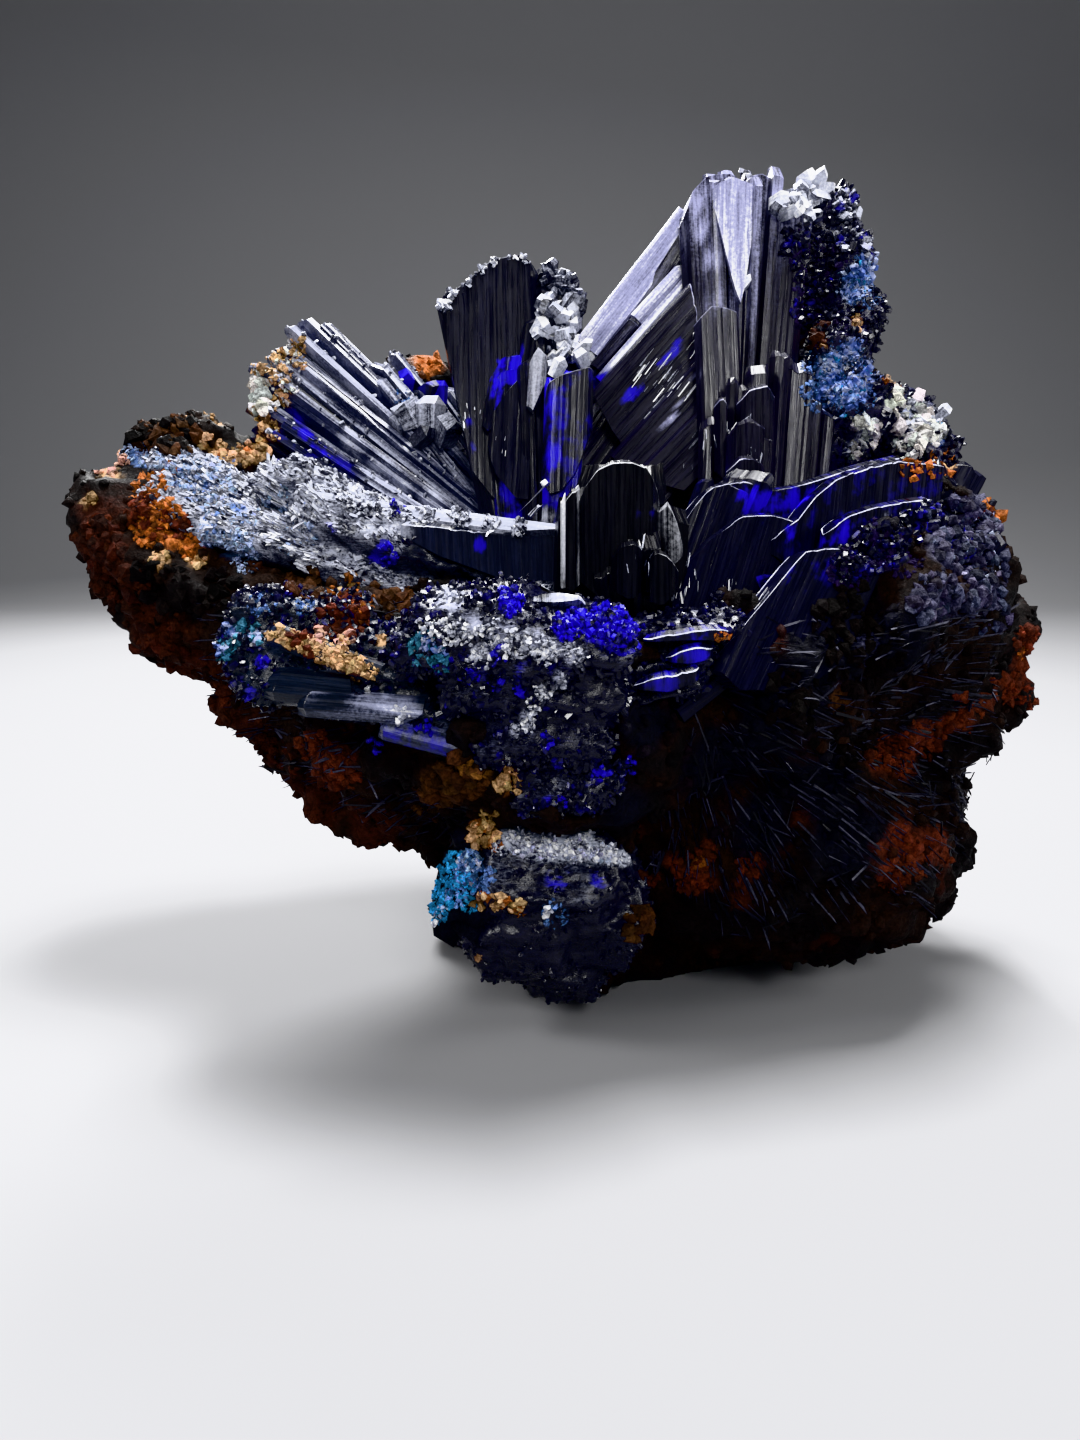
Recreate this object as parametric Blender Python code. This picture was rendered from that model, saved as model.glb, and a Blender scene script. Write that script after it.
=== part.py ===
"""Azurite specimen: groups of bladed azurite crystals that stand in and around a bowl of rusty goethite rock.

Metres, +Z up. The origin is on the flat face that the rock rests on, and the specimen's best side faces -Y.
The tables are in millimetres, and mm() turns a place from them into metres.
"""

import math
import random
from collections import namedtuple

import bmesh
import bpy
from mathutils import Matrix, Vector, noise

MM = 0.001

# Driving dimensions
SEAT_GAP = 0.35 * MM
ROCK_VOXEL = 1.5 * MM
ROCK_TRIANGLES = 2000
ROCK_SEED = 12
CHUNK_CORNERS = 34
CHUNK_SIZE = 1.08
CHUNK_UNEVENNESS = 0.14
KNOB = 9 * MM
KNOB_RISE = 1.7 * MM
LUMP = 4.5 * MM
LUMP_RISE = 1.0 * MM
LEDGE_STEP = 6.5 * MM
LEDGE_RISE = 0.8 * MM
LEDGE_WAVINESS = 0.9
LEDGE_SHARE = 0.45
PIT_DEPTH = 3.5 * MM
PIT_THRESHOLD = 0.2
REST_PLANE_SIDE = 300 * MM
WELD_DISTANCE = 0.01 * MM

# A blade's six corners, as shares of its half width and half thickness, and the shape of its chisel tip.
BLADE_OUTLINE = [(-1, 0.1), (-0.62, 1), (0.62, 1), (1, -0.1), (0.62, -1), (-0.62, -1)]
CHISEL_SHARE = 0.9
RIDGE_SHARE = 0.6

# A chunk of the rock: its centre and its half lengths along X, Y and Z, and its turn about X and Y in degrees.
Chunk = namedtuple("Chunk", "centre half turn", defaults=((0, 0),))

ROCK_CHUNKS = [
    Chunk((8, 8, 28), (36, 23, 26)),
    Chunk((6, 9, 5), (33, 19, 11)),
    Chunk((-6, -10, 8), (11, 8, 9)),
    Chunk((2, 14, 50), (38, 22, 22)),
    Chunk((16, 7, 66), (18, 9, 12)),
    Chunk((-30, 3, 46), (34, 22, 16), (0, 34)),
    Chunk((-36, -2, 34), (24, 14, 11), (0, 38)),
    Chunk((-52, 2, 60), (27, 18, 13), (20, 14)),
    Chunk((-58, -3, 55), (18, 12, 9), (0, 30)),
    Chunk((-70, 3, 67), (9, 11, 10)),
    Chunk((-66, 12, 79), (8, 7, 6)),
    Chunk((-56, 15, 72), (13, 9, 9)),
    Chunk((-20, -16, 44), (24, 16, 16), (0, 12)),
    Chunk((-9, -25, 45), (19, 15, 15)),
    Chunk((-9, -20, 30), (12, 12, 14)),
    Chunk((-8, -14, 14), (11, 9, 9)),
    Chunk((-36, -20, 52), (14, 13, 8), (0, 8)),
    Chunk((32, 2, 44), (24, 22, 22)),
    Chunk((19, -21, 50), (14, 13, 14), (0, -32)),
    Chunk((31, -18, 57), (14, 11, 11), (0, -16)),
    Chunk((44, -8, 60), (10, 13, 14)),
    Chunk((53, 1, 50), (11, 9, 6), (0, -14)),
    Chunk((57, 2, 42), (8, 8, 4)),
    Chunk((43, 3, 34), (12, 15, 12)),
    Chunk((42, 4, 17), (15, 13, 12)),
    Chunk((24, -12, 26), (24, 17, 20)),
    Chunk((32, 12, 74), (14, 11, 18)),
    Chunk((42, 4, 69), (9, 8, 9)),
    Chunk((-25, 20, 70), (17, 11, 15), (0, 20)),
    Chunk((-30, 24, 87), (6, 6, 8)),
]

PIT_CHUNKS = [
    Chunk((4, -21, 73), (17, 14, 17)),
    Chunk((-13, -17, 77), (15, 12, 12)),
    Chunk((-33, -31, 60), (6, 6, 4)),
    Chunk((60, 0, 28), (7, 14, 3)),
]

# A bladed crystal: the middle of its root and of its tip, its width and thickness there, the way its broad face
# looks, its root's width as a share of the tip's, and how far one corner of the tip stands above the other.
Blade = namedtuple("Blade", "root tip width thick face taper slant", defaults=((0, -1, 0), 0.8, 0))

# Ribs that stand out of the rock's flanks and back like the ribs of a fan.
ROCK_RIBS = [
    Blade((0, -18, 38), (44, -22, 60), 12, 5, (0, -0.3, 1), 0.9, 2),
    Blade((0, -18, 36), (50, -18, 50), 12, 5, (0, -0.3, 1), 0.9, -2),
    Blade((2, -18, 33), (52, -10, 39), 14, 5, (0, -0.2, 1), 0.9, 2),
    Blade((2, -18, 29), (51, -8, 26), 14, 5, (0, -0.1, 1), 0.9, -2),
    Blade((4, -17, 24), (48, -6, 13), 12, 5, (0.1, 0, 1), 0.9, 2),
    Blade((6, -14, 18), (36, -8, 4), 10, 4, (0.3, 0.2, 1), 0.9, 0),
    Blade((40, 2, 47), (63, 1, 50), 12, 4, (0, -0.2, 1), 0.9, 0),
    Blade((42, 2, 40), (64, 1, 43), 12, 4, (0, -0.2, 1), 0.9, 2),
    Blade((-16, -12, 40), (-68, -3, 62), 13, 5, (0, -0.6, 1), 0.9, 2),
    Blade((-10, -12, 32), (-60, -6, 45), 12, 5, (-0.2, -0.6, 1), 0.9, 0),
    Blade((-6, -12, 24), (-44, -8, 28), 12, 5, (-0.2, -0.5, 1), 0.9, 2),
    Blade((-4, 22, 34), (-54, 22, 66), 13, 6, (0, 0.6, 1), 0.9, 2),
    Blade((0, 24, 42), (-32, 31, 78), 13, 6, (0.4, 0.6, 1), 0.9, -2),
    Blade((6, 24, 44), (30, 26, 82), 13, 6, (-0.4, 0.6, 1), 0.9, 2),
    Blade((8, 22, 34), (48, 16, 58), 13, 6, (0, 0.6, 1), 0.9, -2),
    Blade((2, 20, 22), (44, 16, 30), 13, 6, (0, 0.6, 1), 0.9, 2),
]

TALL_FAN = [
    Blade((-12, 11, 76), (13, 12, 113), 5, 6, (-0.5, -0.8, 0.4), 0.9, 0),
    Blade((-11, 8, 73), (13, 9, 109), 5, 6, (-0.5, -0.8, 0.4), 0.9, 1),
    Blade((-10, 5, 70), (14, 7, 105), 6, 6, (-0.4, -0.9, 0.3), 0.9, 1),
    Blade((-9, 1, 66), (15, 5, 98), 9, 5, (-0.3, -0.9, 0.2), 0.9, 2),
    Blade((-7, -2, 62), (17, 2, 91), 7, 5, (-0.3, -0.9, 0.2), 0.9, 1),
    Blade((-3, -5, 60), (17, -2, 85), 5, 5, (-0.3, -0.9, 0.3), 0.9, 1),
    Blade((15, -8, 58), (12, 8, 115), 8, 8, (-0.1, -1, 0.1), 0.6, 3),
    Blade((16, -8, 58), (16, 7, 119), 8, 8, (0, -1, 0.1), 0.6, 0),
    Blade((17, -8, 58), (21, 7, 119), 8, 8, (0.1, -1, 0.1), 0.6, 0),
    Blade((18, -7, 58), (25, 9, 116), 8, 8, (0.3, -1, 0.1), 0.6, -3),
    Blade((12, -13, 56), (13, -7, 84), 5, 6, (-0.2, -1, 0), 0.8, 2),
    Blade((16, -14, 56), (17, -9, 88), 6, 5, (0, -1, 0), 0.9, 1),
    Blade((16, -16, 56), (17, -12, 80), 6, 5, (0.1, -1, 0), 0.9, -1),
    Blade((21, -12, 56), (23, -6, 90), 6, 6, (0.2, -1, 0), 0.8, -2),
    Blade((25, -10, 56), (28, -3, 84), 6, 6, (0.3, -1, 0), 0.8, -2),
]

CENTRE_BLADES = [
    Blade((-14, 0, 58), (-19, 12, 105), 17, 5, (0.1, -1, 0.1), 0.45, 7),
    Blade((-14, 4, 60), (-11, 15, 103), 11, 7, (0.2, -1, 0), 0.6, -2),
    Blade((-15, -2, 60), (-17, 5, 89), 6, 4, (-0.3, -1, 0.1), 0.7, 2),
    Blade((-11, -4, 57), (-12, 4, 94), 5, 4, (-0.2, -1, 0), 0.8, 3),
    Blade((-9, -7, 57), (-7, -1, 89), 8, 5, (0.3, -1, 0.1), 0.6, 0),
    Blade((-12, 4, 84), (-10, 5, 100), 6, 6, (-0.4, -1, 0.3), 0.8, 2),
    Blade((-10, 2, 80), (-5, 5, 96), 6, 6, (0.5, -1, 0.3), 0.8, -2),
]

LEFT_SHEAF = [
    Blade((-15, 8, 67), (-49, 18, 98), 7, 6, (0.1, -0.8, 0.6), 0.7, -1),
    Blade((-15, 6, 65), (-52, 17, 95), 7, 6, (0.1, -0.8, 0.5), 0.7, -1),
    Blade((-15, 4, 62), (-56, 15, 91), 7, 6, (0.1, -0.8, 0.5), 0.7, 1),
    Blade((-15, 2, 60), (-56, 13, 85), 7, 6, (0.1, -0.9, 0.4), 0.7, -2),
    Blade((-16, 0, 58), (-53, 10, 80), 8, 5, (0.1, -0.9, 0.3), 0.8, 3),
    Blade((-15, 8, 66), (-38, 17, 92), 8, 7, (0.2, -0.8, 0.6), 0.9, 2),
    Blade((-14, 10, 66), (-30, 18, 88), 9, 8, (0.3, -0.8, 0.5), 0.9, 0),
]

LYING_PLATES = [
    Blade((-8, -19, 59), (-44, -12, 70), 8, 7, (0, -1, 0.3), 0.9, 1),
    Blade((-14, -12, 58), (-50, -4, 75), 9, 7, (0, -0.9, 0.6), 0.8, -1),
    Blade((-16, -25, 56), (-42, -22, 64), 7, 6, (0, -0.9, 0.6), 0.9, 2),
    Blade((-26, -17, 58), (-66, -8, 72), 8, 5, (0, -0.7, 0.8), 0.8, 1),
    Blade((-30, -8, 60), (-68, 2, 78), 8, 5, (0, -0.6, 0.8), 0.8, 1),
]

BOWL_PRISMS = [
    Blade((-3, -24, 48), (-1, -26, 75), 11, 8, (0, -1, 0), 0.9, 1),
    Blade((-8, -26, 48), (-7, -27, 72), 4, 6, (-0.2, -1, 0), 0.9, 1),
    Blade((-3, -28, 48), (-3, -31, 64), 5, 4, (0, -1, 0), 0.9, 0),
    Blade((1, -27, 48), (1, -31, 67), 5, 5, (0.2, -1, 0), 0.9, 0),
    Blade((5, -25, 48), (5, -27, 70), 4, 5, (0.3, -1, 0), 0.9, -1),
]

RIGHT_WALL = [
    Blade((9, -21, 65), (45, -7, 72), 12, 5, (-0.3, -1, 0.2), 0.9, 2),
    Blade((15, -25, 61), (46, -12, 69), 11, 5, (-0.3, -1, 0.2), 0.9, 3),
    Blade((22, -28, 59), (44, -18, 67), 8, 5, (-0.3, -1, 0.2), 0.9, 2),
    Blade((4, -24, 50), (14, -19, 74), 9, 5, (-0.4, -1, 0.1), 0.8, 2),
    Blade((1, -29, 50), (26, -21, 65), 9, 5, (-0.4, -0.8, 0.5), 0.9, 1),
    Blade((4, -33, 47), (24, -26, 62), 7, 5, (-0.4, -0.8, 0.5), 0.9, 1),
    Blade((36, -12, 56), (47, -7, 76), 9, 8, (0.4, -1, 0.1), 0.9, 0),
    Blade((37, -18, 52), (49, -13, 67), 10, 8, (0.4, -1, 0.1), 0.9, 0),
]

FRONT_LEDGE = [
    Blade((-25, -36, 58), (-10, -39, 59), 11, 5, (-0.1, -0.3, 1), 0.9, 0),
    Blade((-15, -38, 57), (0, -39, 55), 12, 6, (0.1, -0.4, 1), 0.9, 1),
    Blade((-27, -36, 55), (-5, -39, 54), 11, 6, (0, -0.4, 1), 0.9, 0),
    Blade((-22, -36, 50), (0, -38, 50), 11, 6, (0.1, -0.3, 1), 0.9, -1),
    Blade((-18, -36, 44), (-2, -38, 45), 11, 7, (-0.1, -0.2, 1), 0.9, 1),
    Blade((-14, -35, 38), (-1, -36, 39), 11, 7, (0.1, -0.2, 1), 0.9, 0),
    Blade((-4, -33, 56), (13, -33, 57), 7, 2.5, (0, -0.4, 1), 0.9, 1),
    Blade((-4, -34, 52), (10, -34, 54), 7, 2.5, (0, -0.4, 1), 0.9, -1),
    Blade((-4, -34, 48), (8, -35, 51), 7, 2.5, (0, -0.4, 1), 0.9, 1),
]

SHELF_BLADES = [
    Blade((-24, -32, 49), (-47, -32, 51), 10, 6, (0, -0.4, 1), 0.9, 0),
    Blade((-16, -35, 45), (-40, -34, 50), 7, 4, (0, -0.6, 1), 0.9, 1),
    Blade((-26, -30, 53), (-50, -31, 54), 10, 6, (-0.1, -0.5, 1), 0.9, 1),
    Blade((-32, -28, 57), (-49, -30, 58), 8, 5, (0, -0.5, 1), 0.9, 0),
]

FOOT_NODULE = [
    Blade((-7, -16, 24), (-11, -38, 24), 22, 14, (0.1, 0.3, 1), 0.9, 1),
    Blade((-10, -16, 14), (-16, -35, 18), 18, 14, (-0.2, 0.3, 1), 0.9, -2),
    Blade((-2, -16, 16), (-3, -35, 19), 13, 14, (0.2, 0.2, 1), 0.9, 1),
    Blade((-6, -14, 9), (-9, -29, 9), 14, 10, (0, 0.2, 1), 0.9, 0),
]

SHOULDER_DRUSE = [
    Blade((29, 12, 80), (33, 14, 118), 8, 8, (0.2, -1, 0), 1, 1),
    Blade((30, 8, 80), (36, 13, 112), 8, 9, (0.4, -1, 0.2), 1, -1),
    Blade((30, 6, 78), (38, 10, 103), 7, 9, (0.5, -1, 0.2), 1, 0),
    Blade((28, 4, 76), (34, 6, 98), 9, 8, (0.3, -1, 0.2), 1, 1),
    Blade((30, 4, 72), (37, 0, 89), 10, 9, (0.3, -1, 0.5), 1, 0),
    Blade((34, 6, 70), (44, 2, 87), 10, 9, (0.5, -1, 0.5), 1, 1),
    Blade((38, 4, 68), (48, -1, 81), 9, 9, (0.5, -1, 0.6), 1, 0),
]

# Node name, crystals and colour. An earlier group keeps its full shape where two groups meet.
CRYSTAL_GROUPS = [
    ("tall_crystal_fan", TALL_FAN, (0.02, 0.02, 0.10)),
    ("centre_blades", CENTRE_BLADES, (0.01, 0.01, 0.12)),
    ("left_crystal_sheaf", LEFT_SHEAF, (0.12, 0.13, 0.30)),
    ("lying_plates", LYING_PLATES, (0.15, 0.16, 0.32)),
    ("bowl_prisms", BOWL_PRISMS, (0.01, 0.01, 0.08)),
    ("right_wall_plates", RIGHT_WALL, (0.01, 0.01, 0.20)),
    ("front_ledge_crystals", FRONT_LEDGE, (0.02, 0.02, 0.30)),
    ("shelf_blades", SHELF_BLADES, (0.05, 0.07, 0.20)),
    ("foot_nodule", FOOT_NODULE, (0.04, 0.10, 0.25)),
    ("shoulder_druse", SHOULDER_DRUSE, (0.04, 0.06, 0.22)),
]
ROCK_COLOUR = (0.13, 0.05, 0.03)
CRYSTAL_ROUGHNESS = 0.25
ROCK_ROUGHNESS = 0.9


def mm(place):
    return Vector(place) * MM


def clear_scene():
    for obj in list(bpy.data.objects):
        bpy.data.objects.remove(obj)


def material(name, colour, roughness):
    made = bpy.data.materials.new(name)
    made.use_nodes = True
    shader = made.node_tree.nodes["Principled BSDF"]
    shader.inputs["Base Color"].default_value = (*colour, 1)
    shader.inputs["Roughness"].default_value = roughness
    shader.inputs["Metallic"].default_value = 0
    return made


def new_object(name, shape):
    """An object of the bmesh, which is freed."""
    mesh = bpy.data.meshes.new(name)
    shape.to_mesh(mesh)
    shape.free()
    obj = bpy.data.objects.new(name, mesh)
    bpy.context.scene.collection.objects.link(obj)
    return obj


def bake_modifiers(obj):
    """Replaces the object's mesh by what its modifiers make of it."""
    graph = bpy.context.evaluated_depsgraph_get()
    baked = bpy.data.meshes.new_from_object(obj.evaluated_get(graph))
    obj.modifiers.clear()
    obj.data = baked


def combine(obj, other, operation):
    """Joins another object's solid to this one's, or cuts it away, and removes the other object."""
    step = obj.modifiers.new(operation.title(), "BOOLEAN")
    step.operation = operation
    step.object = other
    step.solver = "EXACT"
    bake_modifiers(obj)
    bpy.data.objects.remove(other)


def connected_pieces(shape):
    """The bmesh's vertices in one set for each separate body, the smallest first."""
    unseen = set(shape.verts)
    pieces = []
    while unseen:
        stack = [unseen.pop()]
        piece = set(stack)
        while stack:
            for edge in stack.pop().link_edges:
                fresh = unseen.intersection(edge.verts)
                unseen -= fresh
                piece |= fresh
                stack.extend(fresh)
        pieces.append(piece)
    return sorted(pieces, key=len)


def tidy_body(obj):
    """Deletes the chips that a cut has left beside the main body, and the slivers along its new edges."""
    shape = bmesh.new()
    shape.from_mesh(obj.data)
    chips = [vert for piece in connected_pieces(shape)[:-1] for vert in piece]
    bmesh.ops.delete(shape, geom=chips, context="VERTS")
    bmesh.ops.remove_doubles(shape, verts=shape.verts, dist=WELD_DISTANCE)
    shape.to_mesh(obj.data)
    shape.free()


def blade_points(blade, grow):
    """Corners of a bladed crystal: two six-sided rings and the two ends of a chisel-shaped tip."""
    root, tip = mm(blade.root), mm(blade.tip)
    axis = (tip - root).normalized()
    face = Vector(blade.face)
    face = (face - axis * face.dot(axis)).normalized()
    side = axis.cross(face)
    length = (tip - root).length
    half_width = blade.width * MM / 2
    half_thick = blade.thick * MM / 2
    chisel = half_thick * CHISEL_SHARE
    slant = blade.slant * MM / 2

    def ring(along, share):
        thick_share = (1 + share) / 2
        for x, y in BLADE_OUTLINE:
            across = x * (half_width * share + grow)
            through = y * (half_thick * thick_share + grow)
            lean = slant * x if along > length / 2 else 0
            yield root + side * across + face * through + axis * (along + lean)

    points = [*ring(-grow, blade.taper), *ring(length - chisel, 1)]
    for end in (-1, 1):
        ridge = end * (half_width * RIDGE_SHARE + grow)
        points.append(root + side * ridge + axis * (length + grow + slant * end))
    return points


def convex_body(shape, points):
    """Adds the convex solid round the points to the bmesh."""
    corners = [shape.verts.new(point) for point in points]
    made = bmesh.ops.convex_hull(shape, input=corners)
    inside = set(made["geom_interior"]) | set(made["geom_unused"])
    bmesh.ops.delete(shape, geom=list(inside), context="VERTS")


def blade_object(name, blade, grow):
    shape = bmesh.new()
    convex_body(shape, blade_points(blade, grow))
    return new_object(name, shape)


def crystal_group(name, blades, grow=0.0):
    """One solid of crystals that have grown into each other."""
    group = blade_object(name, blades[0], grow)
    for blade in blades[1:]:
        combine(group, blade_object(name + "_blade", blade, grow), "UNION")
    return group


def chunk_points(chunk):
    """Corners spread evenly over an egg shape, each a little in or out of it."""
    turn = Matrix.Rotation(math.radians(chunk.turn[1]), 3, "Y")
    turn @= Matrix.Rotation(math.radians(chunk.turn[0]), 3, "X")
    golden_angle = math.pi * (3 - math.sqrt(5))
    start = random.uniform(0, math.tau)
    for corner in range(CHUNK_CORNERS):
        height = 1 - 2 * (corner + 0.5) / CHUNK_CORNERS
        reach = math.sqrt(1 - height * height)
        around = start + corner * golden_angle
        size = CHUNK_SIZE + random.uniform(-CHUNK_UNEVENNESS, CHUNK_UNEVENNESS)
        place = Vector((reach * math.cos(around), reach * math.sin(around), height)) * size
        yield mm(chunk.centre) + turn @ (mm(chunk.half) * place)


def chunks_object(name, chunks, ribs=()):
    shape = bmesh.new()
    for chunk in chunks:
        convex_body(shape, list(chunk_points(chunk)))
    for rib in ribs:
        convex_body(shape, blade_points(rib, 0))
    return new_object(name, shape)


def fuse(obj):
    """One skin round all the overlapping chunks."""
    step = obj.modifiers.new("Fuse", "REMESH")
    step.mode = "VOXEL"
    step.voxel_size = ROCK_VOXEL
    bake_modifiers(obj)


def roughen(obj):
    """Breaks the chunks up into knobs, ledges and pits."""
    pit_shift = Vector((7, 3, 5))
    shape = bmesh.new()
    shape.from_mesh(obj.data)
    shape.normal_update()
    moves = []
    for vert in shape.verts:
        place = vert.co
        rise = KNOB_RISE * noise.noise(place / KNOB)
        rise += LUMP_RISE * noise.noise(place / LUMP)
        level = place.z / LEDGE_STEP + LEDGE_WAVINESS * noise.noise(place / (2 * KNOB))
        on_ledge = level % 1 < LEDGE_SHARE
        rise += LEDGE_RISE * on_ledge
        rise -= PIT_DEPTH * max(0, noise.noise(place / KNOB + pit_shift) - PIT_THRESHOLD)
        moves.append(vert.normal * rise)
    for vert, move in zip(shape.verts, moves):
        vert.co += move
    shape.to_mesh(obj.data)
    shape.free()


def thin_out(obj, triangles):
    shape = bmesh.new()
    shape.from_mesh(obj.data)
    bmesh.ops.triangulate(shape, faces=shape.faces)
    shape.to_mesh(obj.data)
    shape.free()
    step = obj.modifiers.new("Thin", "DECIMATE")
    step.ratio = triangles / len(obj.data.polygons)
    bake_modifiers(obj)


def cut_rest_face(obj):
    """Saws the rock off flat at the height of the origin."""
    shape = bmesh.new()
    side = REST_PLANE_SIDE
    below = Matrix.Translation((0, 0, -side / 2)) @ Matrix.Diagonal((side, side, side, 1))
    bmesh.ops.create_cube(shape, size=1, matrix=below)
    combine(obj, new_object("saw", shape), "DIFFERENCE")


def rock_body():
    rock = chunks_object("rock_matrix", ROCK_CHUNKS, ROCK_RIBS)
    fuse(rock)
    pit = chunks_object("pit", PIT_CHUNKS)
    fuse(pit)
    combine(rock, pit, "DIFFERENCE")
    fuse(rock)
    roughen(rock)
    thin_out(rock, ROCK_TRIANGLES)
    cut_rest_face(rock)
    return rock


def main():
    random.seed(ROCK_SEED)
    clear_scene()
    rock = rock_body()
    groups = []
    for name, blades, colour in CRYSTAL_GROUPS:
        group = crystal_group(name, blades)
        for earlier_name, earlier_blades in groups:
            room = crystal_group(earlier_name + "_room", earlier_blades, SEAT_GAP)
            combine(group, room, "DIFFERENCE")
        tidy_body(group)
        group.data.materials.clear()
        group.data.materials.append(material(name, colour, CRYSTAL_ROUGHNESS))
        groups.append((name, blades))
    for name, blades in groups:
        combine(rock, crystal_group(name + "_room", blades, SEAT_GAP), "DIFFERENCE")
    tidy_body(rock)
    rock.data.materials.clear()
    rock.data.materials.append(material("rock_matrix", ROCK_COLOUR, ROCK_ROUGHNESS))


main()
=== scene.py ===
"""Azurite specimen: striated azurite crystals, druse and rusty rock over the solids of the frame.

The tables are in millimetres, in the frame's axes, and the specimen's best side faces -Y. Where a table gives
pixels, they are those of the photograph, 1080 by 1440.
"""

import math
from collections import namedtuple

import bpy
import numpy as np
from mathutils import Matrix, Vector
from mathutils.bvhtree import BVHTree


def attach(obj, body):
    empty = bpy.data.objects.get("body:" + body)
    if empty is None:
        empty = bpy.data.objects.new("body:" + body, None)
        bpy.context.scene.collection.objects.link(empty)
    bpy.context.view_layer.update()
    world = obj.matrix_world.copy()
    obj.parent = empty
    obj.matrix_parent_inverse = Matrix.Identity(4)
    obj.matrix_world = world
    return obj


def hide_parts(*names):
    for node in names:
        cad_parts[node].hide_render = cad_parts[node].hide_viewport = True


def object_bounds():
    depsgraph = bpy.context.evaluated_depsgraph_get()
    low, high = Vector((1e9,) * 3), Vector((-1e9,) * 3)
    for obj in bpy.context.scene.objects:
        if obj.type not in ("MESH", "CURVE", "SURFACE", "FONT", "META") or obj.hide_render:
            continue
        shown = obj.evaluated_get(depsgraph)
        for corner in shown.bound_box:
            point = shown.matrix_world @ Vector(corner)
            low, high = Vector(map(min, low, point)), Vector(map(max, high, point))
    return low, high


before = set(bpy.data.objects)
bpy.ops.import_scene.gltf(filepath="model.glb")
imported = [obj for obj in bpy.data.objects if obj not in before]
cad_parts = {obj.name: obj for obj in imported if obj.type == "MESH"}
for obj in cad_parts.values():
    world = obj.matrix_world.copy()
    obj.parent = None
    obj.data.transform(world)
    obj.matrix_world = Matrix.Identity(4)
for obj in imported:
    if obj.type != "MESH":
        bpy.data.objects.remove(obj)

MM = 0.001
CAD_BOX = [[float(v) for v in corner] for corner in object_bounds()]
ROOM = 0.0015  # how far a piece may pass that box, in metres

# The camera of the photograph, in millimetres
CAMERA = np.array((-11.0, -150.0, 70.0))
TILT = math.radians(12)
LENS, SENSOR = 25, 36
FOCAL_PIXELS = 1000
MIDDLE = (540, 720)
SIGHT = np.array((0, math.cos(TILT), -math.sin(TILT)))
UPWARD = np.array((0, math.sin(TILT), math.cos(TILT)))

rng = np.random.default_rng(21)

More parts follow.
